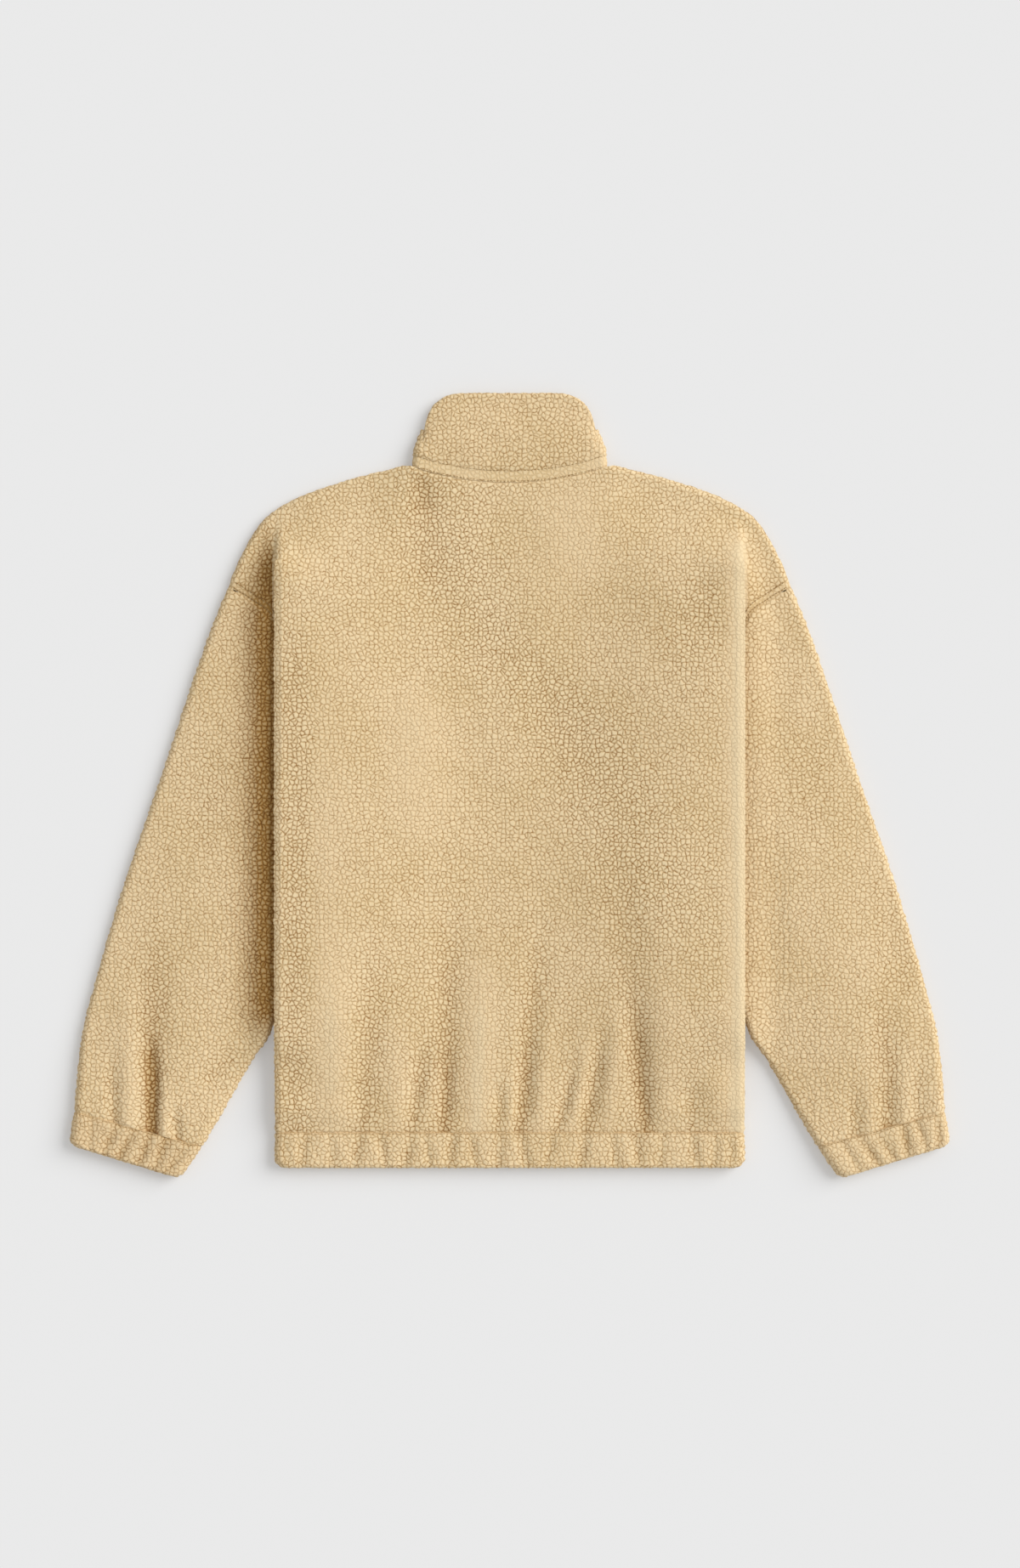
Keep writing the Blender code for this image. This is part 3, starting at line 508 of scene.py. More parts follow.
def flat_ring(outer, inner, heights, wall, shares, bow=lambda *_: Vector((0, 0))):
    """One ring of a flattened tube, over the top from its outer (point, normal) to its inner one
    and back underneath. heights(x, y, t) gives the lower and the upper middle of the cloth."""
    ends = []
    for t, (point, normal) in enumerate((outer, inner)):
        low, high = heights(*point, t)
        ends.append((point - normal * (high - low + wall) / 2, normal, low, high, wall))
    start, end = ends[0][0], ends[1][0]
    plans = [(start.lerp(end, t) + bow(t, start, end), t) for t in shares]
    ring = []
    for side, above in ((1, 1), (-1, 0)):
        ring += [level(plan, heights(*plan, t)[above], side, wall) for plan, t in plans[::side]]
        ring += round_turn(*ends[above], side)
    return ring + ring[:1]


def close_to_turns(shares):
    """These shares of a width, with more of them close to both ends."""
    kept = (share for share in shares if 0.07 < share < 0.93)
    return sorted({0.0, *NEAR_TURN, *kept, *(1 - near for near in NEAR_TURN), 1.0})


def sleeve_puff(s, t):
    """How far half of a sleeve's hollow is puffed up at these shares of its length and width: most
    along its middle, but evenly at the cuff."""
    to_cuff = ease((s - CUFF_SHARE) / (1 - CUFF_SHARE))
    middle = mix(SHOULDER_PUFF, SLEEVE_PUFF, ease(3 * s)) + CUFF_PUFF * to_cuff
    return mix(mix(SHOULDER_PUFF, middle, to_cuff), middle, np.sin(math.pi * t))


def sleeve():
    """Rings of the right sleeve, from the armhole seam to the cuff seam."""
    caps = [*SECTIONS[FIRST_CAP:], FOLD_TOP_Y]
    shares = close_to_turns((FOLD_TOP_Y - y) / (FOLD_TOP_Y - caps[0]) for y in reversed(caps))
    rings = []
    for k in range(SLEEVE_RINGS + 1):
        s = k / SLEEVE_RINGS
        to_cuff, spread = ease((s - CUFF_SHARE) / (1 - CUFF_SHARE)), ease(4 * s)

        def heights(x, y, t):
            y_lift = mix(mix(FOLD_TOP_Y, SECTIONS[FIRST_CAP], t), y, spread)
            return [arm_height(x, y_lift, sleeve_puff(s, t), side) for side in (-1, 1)]

        def bow(t, start, end):
            away = armhole(t, SEAM / 2) - start.lerp(end, t)
            near = ease(t / mix(0.04, 0.6, spread)) * ease((1 - t) / mix(0.06, 0.6, spread))
            return away * (1 - s) ** 2 * near

        gap = Vector((0, SEAM * (k == SLEEVE_RINGS))) if k else across(ARMHOLE, 0.0) * SEAM
        outer, inner = on_curve(SLEEVE_OUTER, s), on_curve(SLEEVE_INNER, s)
        along = (outer - inner).normalized()
        rings.append(flat_ring((outer + gap, across(SLEEVE_OUTER, s).lerp(along, to_cuff)),
                               (inner + gap, -across(SLEEVE_INNER, s).lerp(along, to_cuff)),
                               heights, WALL, shares, bow))
    return rings


def rounded(from_fold, wall):
    """The part of its thickness that a doubled band has this far from its fold."""
    near = 1 - min(from_fold / (0.42 * wall), 1.0)
    return math.sqrt(max(1 - near * near, 0.01))


def corner_inset(radius, from_fold):
    """How far a band's rounded corner draws its end in, this far from its fold."""
    return radius - math.sqrt(radius**2 - max(radius - from_fold, 0.0) ** 2)


def cuff():
    """Rings of the right cuff, from its seam down."""
    rings = []
    shares = close_to_turns(i / CUFF_STEPS for i in range(CUFF_STEPS + 1))
    for share in BAND_ROWS:
        outer, inner = on_curve(CUFF_OUTER, share), on_curve(CUFF_INNER, share)
        along = (outer - inner).normalized()
        from_fold = (1 - share) * CUFF_HEIGHT
        inset = along * corner_inset(CUFF_CORNER, from_fold)
        rings.append(flat_ring((outer - inset, along), (inner + inset, -along),
                               lambda x, y, t: (BAND_WALL / 2, HEM_Z),
                               BAND_WALL * rounded(from_fold, BAND_WALL), shares))
    return rings


def at_zip(x, wall):
    """A doubled band's thickness at x: it is flattened to one layer at the zip."""
    return mix(WALL, wall, ease((abs(x) - TAPE_WIDTH - ZIP_GAP) / ZIP_RUN))


def hem_row(share):
    """One row of the hem band's right half, from the middle of the back to the front's edge."""
    y = mix(HEM_SEAM_Y, HEM_Y, share)
    part = rounded(y - HEM_Y, BAND_WALL)
    low, high = BAND_WALL / 2, HEM_Z
    centre = SIDE_X - corner_inset(HEM_CORNER, y - HEM_Y) - (low + high) / 2
    shares = [*(i / HEM_STEPS for i in range(HEM_STEPS)), *(1 - near for near in reversed(NEAR_TURN)), 1.0]
    row = [level((centre * t, y), high, 1, BAND_WALL * part) for t in shares]
    row += round_turn(Vector((centre, y)), Vector((1, 0)), low, high, BAND_WALL * part)
    for x in (*(centre * t for t in reversed(shares[-4:])), *reversed(HEM_FRONT_COLUMNS)):
        wall = at_zip(x, BAND_WALL)
        row.append(level((x, y), wall / 2, -1, wall * part))
    return row


def collar_row(share):
    """One row of the collar's right half, from the middle of the back to the front's edge."""
    end = COLLAR_TOP[-1]
    low, high = COLLAR_WALL / 2, COLLAR_Z - COLLAR_DROOP * ease((share - 0.35) / 0.65)
    bulge = COLLAR_BULGE * (math.sin(math.pi * share) + 0.7 * ease(share / 0.12) * (1 - share) ** 4)
    corner = Vector((NECK_X, NECK_END_Y)).lerp(end, share) + COLLAR_SIDE * bulge
    wall = COLLAR_WALL * rounded((end - corner).length, COLLAR_WALL)
    tip_reach = (COLLAR_Z - COLLAR_DROOP - low) / 2 + 0.3
    tip = end - COLLAR_SIDE * tip_reach
    row = []
    for x in BACK_NECK:
        t = x / COLLAR_FOOT.x
        point, normal = neck_seam(x, 1)
        top = on_curve(COLLAR_TOP, t) - COLLAR_SIDE * tip_reach * ease((t - 0.85) / 0.15)
        plan = (point + normal * SEAM / 2).lerp(top, share)
        row.append(level(plan, high, 1, COLLAR_WALL * rounded((top - plan).length, COLLAR_WALL)))
    row += round_turn(corner - COLLAR_SIDE * (high - low + wall) / 2, COLLAR_SIDE, low, high, wall,
                      steps=range(TURN_STEPS + 2))
    for x in reversed(FRONT_NECK):
        point, normal = neck_seam(x, -1)
        x_top = x * tip.x / COLLAR_FOOT.x if x > ZIP_GAP else x
        top = Vector((x_top, mix(COLLAR_FRONT_Y, tip.y, (x_top / tip.x) ** 2)))
        plan = (point + normal * SEAM / 2).lerp(top, share)
        wall = at_zip(x, COLLAR_WALL)
        row.append(level(plan, wall / 2, -1, wall * rounded((top - plan).length, COLLAR_WALL)))
    return row


# From a lattice to a fine mesh

def lattice(rows):
    """Rows of (middle, face, wall) as an array of 7 numbers a point. A short row repeats its end."""
    width = max(len(row) for row in rows)
    full = [row + row[-1:] * (width - len(row)) for row in rows]
    return np.array([[(*middle, *face, wall) for middle, face, wall in row] for row in full])


def on_side(points, side):
    """Points of the right side (1), or the same on the left (-1)."""
    return points if side > 0 else points * np.array((-1, 1, 1, -1, 1, 1, 1))


def both_halves(points, marks):
    """A lattice and its column marks from the left to the right, out of its right half."""
    last = marks[-1]
    return (np.concatenate([on_side(points, -1)[:, :0:-1], points], axis=1),
            [last - i for i in reversed(marks)] + [last + i for i in marks[1:]])


def stations(points, axis):
    """Where a lattice's rows or columns lie along it, in millimetres, by the mean distance between them."""
    steps = np.linalg.norm(np.diff(points[..., :3], axis=axis), axis=-1)
    counted = (steps > 1e-6).sum(axis=1 - axis)
    return np.cumsum([0.0, *np.maximum(steps.sum(axis=1 - axis) / np.maximum(counted, 1), 0.05)])


def between(marks, spacings):
    """Even steps from mark to mark, an even number of them, each about as long as its spacing, and
    the place of each mark in them."""
    found, places = [np.array([marks[0]])], [0]
    for low, high, spacing in zip(marks, marks[1:], spacings):
        count = max(2 * round((high - low) / spacing / 2), 2)
        found.append(np.linspace(low, high, count + 1)[1:])
        places.append(places[-1] + count)
    return np.concatenate(found), places


def resample(values, old, new):
    """Values along the first axis, on a smooth curve through them, at new stations."""
    slopes = np.gradient(values, old, axis=0)
    secants = np.diff(values, axis=0) / np.diff(old).reshape(-1, 1, 1)
    before, after = secants[:-1], secants[1:]
    steepest = 3 * np.minimum(np.abs(before), np.abs(after))  # past this the curve would swing back
    slopes[1:-1] = np.where(before * after > 0, np.clip(slopes[1:-1], -steepest, steepest), 0.0)
    i = np.clip(np.searchsorted(old, new, side="right") - 1, 0, len(old) - 2)
    gap = (old[i + 1] - old[i]).reshape(-1, 1, 1)
    t = (new - old[i]).reshape(-1, 1, 1) / gap
    return ((2 * t**3 - 3 * t**2 + 1) * values[i] + (t**3 - 2 * t**2 + t) * gap * slopes[i]
            + (3 * t**2 - 2 * t**3) * values[i + 1] + (t**3 - t**2) * gap * slopes[i + 1])


Fine = namedtuple("Fine", "points rows columns row_marks column_marks")


def fine_grid(points, row_marks, row_steps, column_marks, column_steps, tube=False):
    """A lattice at fine stations. Marks are rows or columns of the lattice by number, and stay exact."""
    rows_at, columns_at = stations(points, 0), stations(points, 1)
    rows, row_places = between([rows_at[i] for i in row_marks], row_steps)
    columns, column_places = between([columns_at[i] for i in column_marks], column_steps)
    if tube:
        points = np.concatenate([points[:, -4:-1], points, points[:, 1:4]], axis=1)
        length = columns_at[-1]
        columns_at = np.concatenate([columns_at[-4:-1] - length, columns_at, columns_at[1:4] + length])
    fine = resample(points, rows_at, rows)
    fine = resample(fine.swapaxes(0, 1), columns_at, columns).swapaxes(0, 1)
    fine[..., 3:6] /= np.linalg.norm(fine[..., 3:6], axis=-1, keepdims=True)
    return Fine(fine, rows, columns, row_places, column_places)


def fold_lift(folds, x, y):
    """What the soft folds add to the cloth's height at points of the plan."""
    total = np.zeros_like(x)
    for fold in folds:
        run = np.array((fold.x1 - fold.x0, fold.y1 - fold.y0))
        length = np.hypot(*run)
        t = ((x - fold.x0) * run[0] + (y - fold.y0) * run[1]) / length**2
        inside = unit(t)
        side = ((x - fold.x0) * -run[1] + (y - fold.y0) * run[0]) / length
        off = np.hypot(side - fold.bow * np.sin(math.pi * inside), (t - inside) * length)
        width = fold.width * mix(fold.spread, 1.0, inside)
        total += fold.rise * ease(inside * 1.6 + 0.1) * beside(off, width)
    return total


def ruck_depth(rucks, at, share):
    """How deep the elastic's troughs are along a band, from its seam (0) to its fold (1)."""
    total = np.zeros_like(at)
    for i, ruck in enumerate(rucks):
        strongest = 0.35 + 0.4 * math.sin(2.3 * i) ** 2
        middle = ruck.at + ruck.lean * (share - 0.5) * 2
        total += ruck.depth * beside(at - middle, ruck.width) * (1 - 0.75 * np.abs(share - strongest))
    return total


def wander(x, y, scale, seed):
    """A slow even unevenness from -1 to 1, of waves that don't repeat."""
    found = np.zeros_like(x)
    for i in range(5):
        angle, pitch = seed + 2.4 * i, scale * (0.8 + 0.23 * i)
        found += np.sin((x * math.cos(angle) + y * math.sin(angle)) / pitch * 2 * math.pi + 1.7 * i * seed)
    return found / 5


def beside(distance, width=1.6):
    """1 on a seam, 0 clear of it: there the pile is caught in the stitches."""
    return np.exp(-(distance / width) ** 2)


def from_armhole(x, y):
    """Distance in plan from the armhole seam, in millimetres."""
    line = np.array([on_curve(ARMHOLE, i / 160) for i in range(161)])
    found = np.full(x.shape, 1e3)
    near = (np.abs(x) > line[:, 0].min() - 20) & (y > line[:, 1].min() - 20) & (y < line[:, 1].max() + 20)
    gaps = np.hypot(np.abs(x[near])[:, None] - line[:, 0], y[near][:, None] - line[:, 1])
    found[near] = gaps.min(axis=1)
    return found


def flat_place(points, turns):
    """Where each point of the outer face lies in the flat cloth. Turns (columns where one starts
    above and ends below, and where the cloth beneath it ends) are rolled out past the edge."""
    face, wall = points[..., 3:6], points[..., 6:]
    surface = points[..., :3] + face * wall / 2
    plan = surface[..., :2]
    turned = np.arccos(unit(np.abs(face[..., 2:])))
    outward = face[..., :2] / np.maximum(np.linalg.norm(face[..., :2], axis=-1, keepdims=True), 1e-6)
    place = plan + outward * (TURN + WALL / 2) * (turned - np.sin(turned))
    for first, last, stop in turns:
        step = 1 if last > first else -1
        columns = np.arange(first, stop + step, step)
        middle = (first + last) // 2
        out = outward[:, middle:middle + 1]
        angle = np.arccos(np.clip(face[:, columns, 2], -1, 1))
        radius = (surface[:, first, 2] - surface[:, last, 2])[:, None] / 2
        beneath = (columns - last) * step > 0
        inward = ((plan[:, last:last + 1] - plan[:, columns]) * out).sum(axis=-1) * beneath
        rolled = radius * (angle - np.sin(angle)) + 2 * inward
        place[:, columns] = plan[:, columns] + out * rolled[..., None]
    return np.concatenate([place, np.zeros_like(place[..., :1])], axis=-1)


# The pile over a piece: how much of it stands (0 to 1), how much painted shade it takes (deep,
# 0 to 1), where it lies deep in a fold or in the body's shadow, and how closely it is pressed
# together (-1 stretched, to 1).
Nap = namedtuple("Nap", "pile deep close")


def cloth(name, points, lift, sunk, nap, corners=None, missing=(), turns=(), shift=(0, 0)):
    """A node's cloth as a closed wall, and its outer face's points. A fine outer grid and a coarser
    inner one are joined from corner to corner, or to a tube without corners. The lift moves both,
    sunk presses the outer one in, and missing regions are taken out. The shift keeps the curls
    from matching those of a neighbour."""
    nap = Nap(*(values + 0.0 * lift for values in nap))
    if not corners:
        for values in (lift, sunk, *nap):
            values[:, -1] = values[:, 0]
    face = points[..., 3:6]
    nap.pile[...] *= 1 + 1.2 * (1 - np.abs(face[..., 2]))  # round a fold the clumps splay apart
    middle = points[..., :3] + face * lift[..., None]
    half = face * points[..., 6:] / 2
    outer = middle + half - face * sunk[..., None]
    bm = bmesh.new()
    rest = bm.verts.layers.float_vector.new("rest")
    kinds = [bm.verts.layers.float.new(kind) for kind in Nap._fields]
    place = (flat_place(points, turns) + (*shift, 0)) * MM
    grids = []
    for step, grid, pile in ((1, outer, nap.pile), (2, (middle - half)[::2, ::2], 0 * nap.pile)):
        height, width = grid.shape[:2]
        made = bmesh.ops.create_grid(bm, x_segments=width - 1, y_segments=height - 1, size=1.0)["verts"]
        per_vertex = [values[::step, ::step].reshape(len(made), -1) for values in (place, pile, *nap[1:])]
        for vert, at, flat, *naps in zip(made, grid.reshape(-1, 3), *per_vertex):
            vert.co = at
            vert[rest] = flat
            for kind, (value,) in zip(kinds, naps):
                vert[kind] = value
        grids.append((step, np.array(made, dtype=object).reshape(height, width)))
    for region in missing:
        off = {vert for step, grid in grids
               for vert in grid[tuple(slice(i.start // step, i.stop // step + 1) for i in region)].ravel()}
        faces = {face for vert in off for face in vert.link_faces if all(v in off for v in face.verts)}
        bmesh.ops.delete(bm, geom=list(faces), context="FACES")
    last_row, last = points.shape[0] - 1, points.shape[1] - 1
    for side in zip(corners, corners[1:]) if corners else [((r, 0), (r, last)) for r in (0, last_row)]:
        (low_r, high_r), (low_c, high_c) = (sorted(ends) for ends in zip(*side))
        rim = []
        for step, grid in grids:
            chain = grid[low_r // step:high_r // step + 1, low_c // step:high_c // step + 1].ravel()
            rim += [bm.edges.get(pair) for pair in zip(chain, chain[1:])]
        bmesh.ops.bridge_loops(bm, edges=rim)
    if not corners:
        seam = [vert for _, grid in grids for vert in (*grid[:, 0], *grid[:, -1])]
        bmesh.ops.remove_doubles(bm, verts=seam, dist=0.01)
    bmesh.ops.recalc_face_normals(bm, faces=bm.faces)
    if bm.calc_volume(signed=True) < 0:
        bmesh.ops.reverse_faces(bm, faces=bm.faces)
    piece = with_pile(add(f"fleece_{name}", bm, FLEECE, "fleece"))
    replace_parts(piece, name)
    return piece, outer


def add(name, bm, material, slot=None):
    """An object of this mesh, in metres and shaded smooth, which is part of the jacket if it has a slot."""
    bmesh.ops.scale(bm, vec=(MM, MM, MM), verts=bm.verts)
    mesh = bpy.data.meshes.new(name)
    bm.to_mesh(mesh)
    bm.free()
    mesh.shade_smooth()
    mesh.set_sharp_from_angle(angle=math.radians(SHARP))
    mesh.materials.append(material)
    piece = bpy.data.objects.new(name, mesh)
    bpy.context.scene.collection.objects.link(piece)
    if slot:
        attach(piece, "jacket")
    return piece


def with_pile(piece):
    """Raises the curls on a cloth piece's outer face, and keeps the result as its mesh."""
    piece.modifiers.new("pile", "NODES").node_group = CURLS
    bpy.context.view_layer.update()
    raised = piece.evaluated_get(bpy.context.evaluated_depsgraph_get())
    mesh = bpy.data.meshes.new_from_object(raised)
    places = np.empty(3 * len(mesh.vertices))
    mesh.vertices.foreach_get("co", places)
    places[2::3] = np.maximum(places[2::3], 0.0)  # it rests on the ground
    mesh.vertices.foreach_set("co", places)
    piece.modifiers.clear()
    piece.data = mesh
    mesh.name = piece.name
    return piece


# Nodes and materials

SMOOTH = {"interpolation_type": "SMOOTHSTEP"}
TIMES = {"operation": "MULTIPLY"}
TIMES_PLUS = {"operation": "MULTIPLY_ADD"}
COLOUR = {"output": 2, "data_type": "RGBA"}
FLAT = {"noise_dimensions": "2D"}


def srgb(code):
    """The linear colour of a hex code."""
    parts = [int(code[i:i + 2], 16) / 255 for i in (1, 3, 5)]
    return tuple(c / 12.92 if c <= 0.04045 else ((c + 0.055) / 1.055) ** 2.4 for c in parts) + (1.0,)


def connect(tree, made, inputs):
    """Links each of a node's inputs to a socket, or sets it to a value."""
    for key, value in inputs.items() if isinstance(inputs, dict) else enumerate(inputs):
        if isinstance(value, bpy.types.NodeSocket):
            tree.links.new(value, made.inputs[key])
        else:
            made.inputs[key].default_value = value


def node(tree, kind, inputs=(), output=0, **settings):
    """Adds a node with its settings and inputs, and gives one of its outputs."""
    made = tree.nodes.new(kind if "Node" in kind else "ShaderNode" + kind)
    for key, value in settings.items():
        setattr(made, key, value)
    connect(tree, made, inputs)
    return made.outputs[output]


def wavy(make, place, size, strength):
    """A place moved by a noise of this size, in millimetres, so that what follows it bends."""
    warp = make("TexNoise", {"Vector": place, "Scale": 1 / (size * MM), "Detail": 1.0}, "Color", **FLAT)
    warp = make("VectorMath", (warp, (0.5, 0.5, 0.5)), operation="SUBTRACT")
    return make("VectorMath", (warp, (strength * MM,) * 3, place), **TIMES_PLUS)


def curl_edge(make, rest, size):
    """How far a point is from the nearest crevice between two curls of this size, as a share of it."""
    place = wavy(make, wavy(make, rest, 2.4 * size, 0.45 * size), 0.6 * size, 0.4 * size)
    return make("TexVoronoi", {"Vector": place, "Scale": 1 / (size * MM), "Randomness": 0.88},
                voronoi_dimensions="2D", feature="DISTANCE_TO_EDGE")


def curls():
    """Geometry nodes that raise the clumps of curls."""
    tree = bpy.data.node_groups.new("Curls of the pile", "GeometryNodeTree")
    make = partial(node, tree)
    for way in ("INPUT", "OUTPUT"):
        tree.interface.new_socket("Geometry", in_out=way, socket_type="NodeSocketGeometry")
    rest, pile = (make("GeometryNodeInputNamedAttribute", {"Name": name}, data_type=kind)
                  for name, kind in (("rest", "FLOAT_VECTOR"), ("pile", "FLOAT")))
    rise = CLUMP_RISE * MM
    raised = make("MapRange", (curl_edge(make, rest, CLUMP), 0.0, 0.35, -0.15 * rise, rise), **SMOOTH)
    raised = make("Math", (raised, pile), **TIMES)
    offset = make("VectorMath", {0: make("GeometryNodeInputNormal"), "Scale": raised}, operation="SCALE")
    start = make("NodeGroupInput")
    moved = make("GeometryNodeSetPosition", {"Geometry": start, "Offset": offset})
    connect(tree, tree.nodes.new("NodeGroupOutput"), (moved,))
    return tree


def blank(name, kind="TexCoord", output="Object", **settings):
    """A new material, what adds a node to it, and a point's place on its object or in its cloth."""
    material = bpy.data.materials.new(name)
    material.use_nodes = True
    make = partial(node, material.node_tree)
    return material, make, make(kind, output=output, **settings)


def finished(material, finish):
    """The material with its shader's inputs linked or set."""
    connect(material.node_tree, material.node_tree.nodes["Principled BSDF"], finish)
    return material


def two_tone(material, make, pattern, dark, light, relief, **finish):
    """The material in two tones that follow a pattern, and in its relief (strength, depth in mm)."""
    finish["Base Color"] = make("Mix", {0: pattern, 6: srgb(dark), 7: srgb(light)}, **COLOUR)
    if relief:
        strength, depth = relief
        finish["Normal"] = make("Bump", {"Height": pattern, "Strength": strength, "Distance": depth * MM})
    return finished(material, finish)


def fleece():
    """Boucle fleece: light, matt crowns of curled yarn with brown crevices between them, which are
    closer where a fold sinks and darker there with painted shade, and fine fibres that soften
    every highlight. A warm painted shade also lies in the folds, along seams and where the body's
    shadow falls on a sleeve."""
    material, make, rest = blank("Sherpa fleece, curled polyester pile", "Attribute", "Vector",
                                 attribute_name="rest")
    pile, deep, close = (make("Attribute", output="Fac", attribute_name=kind) for kind in Nap._fields)
    edge = curl_edge(make, rest, CURL)
    crown = make("MapRange", (edge, 0.12, 0.38), **SMOOTH)
    # Crevices differ in how dark they are, and the faintest all but join two curls into one
    # longer strand, so the eye sees looped yarn and not tiles.
    # Where the cloth is pressed together they are closer and darker; where it is stretched, fainter.
    # Painted shade darkens them further in folds and in the body's shadow.
    uneven = make("TexNoise", {"Vector": rest, "Scale": 1 / (3.4 * MM), "Detail": 0.5}, **FLAT)
    pressed = make("Math", (deep, 0.6, make("Math", (close, 0.36, 1.0), **TIMES_PLUS)), **TIMES_PLUS)
    crevice = make("MapRange", (edge, 0.0, 0.13, 1.0, 0.0), **SMOOTH)
    for share in (make("MapRange", (uneven, 0.34, 0.64, 0.38, 0.95), **SMOOTH), pressed,
                  make("MapRange", (pile, 0.0, 0.9, 0.12), **SMOOTH)):
        crevice = make("Math", (crevice, share), **TIMES)
    # Broad, faint differences in tone, as a dyed pile that has been brushed both ways. Where the
    # pile is stretched it is lighter, and where it is stretched most it turns paler: on ridges this
    # is partly painted light, and on the right fold's crown and the collar's right end it is a
    # painted highlight.
    broad = make("TexNoise", {"Vector": rest, "Scale": 1 / (70 * MM), "Detail": 1.0}, **FLAT)
    broad = make("MapRange", (broad, 0.3, 0.7, 0.35, 0.65), **SMOOTH)
    stretched = make("Math", (close, 0.0), operation="MINIMUM")
    shade = make("Math", (stretched, -0.35, broad), **TIMES_PLUS)
    tip = make("MapRange", (close, -1.5, 1.5, 0.25, 0.8), **SMOOTH)
    colour = srgb("#d4b98b")
    for share, code in ((make("MapRange", (shade, 0.15, 0.85), **SMOOTH), "#dec49a"),
                        (make("MapRange", (close, -0.9, -1.5), **SMOOTH), "#dcc69f"),
                        (make("Math", (crown, tip), **TIMES), "#ecd8b0"), (crevice, "#976e3b")):
        colour = make("Mix", {0: share, 6: colour, 7: srgb(code)}, **COLOUR)
    # Fibres of a millimetre or so break up each curl.
    fibre = make("TexNoise", {"Vector": rest, "Scale": 1 / (1.3 * MM), "Distortion": 0.6}, **FLAT)
    relief = make("Math", (fibre, 0.35, make("MapRange", (edge, 0.0, 0.3), **SMOOTH)), **TIMES_PLUS)
    bump = make("Bump", {"Height": relief, "Strength": 0.5, "Distance": 0.6 * MM})
    # Painted shade: deep in a fold, along seams and in the body's shadow on a sleeve, the colour is
    # multiplied by a warm tone, as light that has met the pile once before. The crowns are painted a
    # little lighter in it.
    shaded = make("Math", (deep, make("Math", (crown, -0.4, 1.15), **TIMES_PLUS)), **TIMES)
    painted_shade_colour = make("Mix", {0: 1.0, 6: colour, 7: srgb("#bba06e")}, blend_type="MULTIPLY", **COLOUR)
    return finished(material, {
        "Base Color": make("Mix", {0: shaded, 6: colour, 7: painted_shade_colour}, **COLOUR), "Normal": bump,
        "Roughness": 0.95, "Specular IOR Level": 0.15, "Sheen Weight": 0.2, "Sheen Roughness": 0.6,
        "Sheen Tint": srgb("#f3e6c8"),
    })


def thread():
    """Twisted sewing thread: a shade darker than the pile, with a slight gloss that a stitch catches."""
    material, make, place = blank("Sewing thread, spun polyester")
    twist = make("TexWave", {"Vector": place, "Scale": 1 / (0.9 * MM), "Distortion": 2.0}, "Fac",
                 bands_direction="DIAGONAL")
    return two_tone(material, make, twist, "#7d5c2c", "#9c7943", (0.4, 0.08), Roughness=0.6)


def woven_tape():
    """Zip tape: a close twill of fine ribs along its length, a little darker than the pile."""
    material, make, place = blank("Zip tape, woven polyester twill")
    ribs, picks = (make("TexWave", {"Vector": place, "Scale": 0.5 / (pitch * MM), "Distortion": bent},
                        "Fac", bands_direction=way)
                   for pitch, bent, way in ((1.0, 0.4, "X"), (0.7, 0.0, "Y")))
    weave = make("Math", (ribs, make("Math", (picks, 0.6))), **TIMES)
    return two_tone(material, make, weave, "#a98d60", "#c7ab7c", (0.6, 0.15), Roughness=0.8)


def nylon():
    """Zip coil: smooth nylon, with a soft gloss and a faint unevenness from its moulding."""
    material, make, place = blank("Zip teeth, nylon")
    grain = make("TexNoise", {"Vector": place, "Scale": 1 / (2.5 * MM), "Detail": 3.0})
    rough = make("MapRange", (grain, 0.3, 0.7, 0.36, 0.5), **SMOOTH)
    return two_tone(material, make, grain, "#a88b5d", "#bb9f70", None, Roughness=rough)


def zinc():
    """Zip slider and pull: die-cast zinc under a pale satin lacquer, finely scuffed by use."""
    material, make, place = blank("Zip slider and pull, lacquered die-cast zinc")
    scuff = make("TexNoise", {"Vector": place, "Scale": 1 / (1.2 * MM), "Detail": 6.0, "Roughness": 0.7})
    rough = make("MapRange", (scuff, 0.35, 0.65, 0.24, 0.42), **SMOOTH)
    return two_tone(material, make, scuff, "#b3a78f", "#d2c7ae", (0.25, 0.05), Roughness=rough, Metallic=0.9)


def opal():
    """The pale, even ground: opal acrylic lit faintly from below, which thins the shadows on it."""
    material, make, place = blank("Backdrop, lit opal acrylic")
    tooth = make("TexNoise", {"Vector": place, "Scale": 1 / (4 * MM)})
    return finished(material, {
        "Normal": make("Bump", {"Height": tooth, "Strength": 0.05, "Distance": 0.1 * MM}),
        "Base Color": srgb("#c6c6c6"), "Emission Color": (1.0, 1.0, 1.0, 1.0), "Emission Strength": 0.225,
        "Roughness": 1.0, "Specular IOR Level": 0.0,
    })


# Pieces

def body_panel(side, columns, spacings, halves):
    """A fine grid of the back or of the right front, its corners, and the regions of it that are
    missing: those beyond the side seam, below the underarm."""
    points = lattice(panel(side, columns))
    last, top = points.shape[1] - 1, len(SECTIONS)
    marks, steps = (0, len(columns), last - CAP_COLUMNS + 1, last), spacings[1:]
    if halves:
        points, marks = both_halves(points, marks)
        steps = (*reversed(steps), *steps)
    fine = fine_grid(points, (0, FIRST_CAP, top, top + EDGE_ROWS), (spacings[0], spacings[0], 1.0),
                     marks, steps)
    top, underarm = fine.row_marks[-1], fine.row_marks[1]
    outer, last = fine.column_marks[-2:]
    inner = fine.column_marks[1] if halves else 0
    missing = [(slice(0, underarm), slice(outer, last))]
    corners = [(0, inner), (0, outer), (underarm, outer), (underarm, last), (top, last), (top, 0)]
    if halves:
        missing.append((slice(0, underarm), slice(0, inner)))
        corners += [(underarm, 0), (underarm, inner)]
    return fine, (*corners, corners[0]), missing


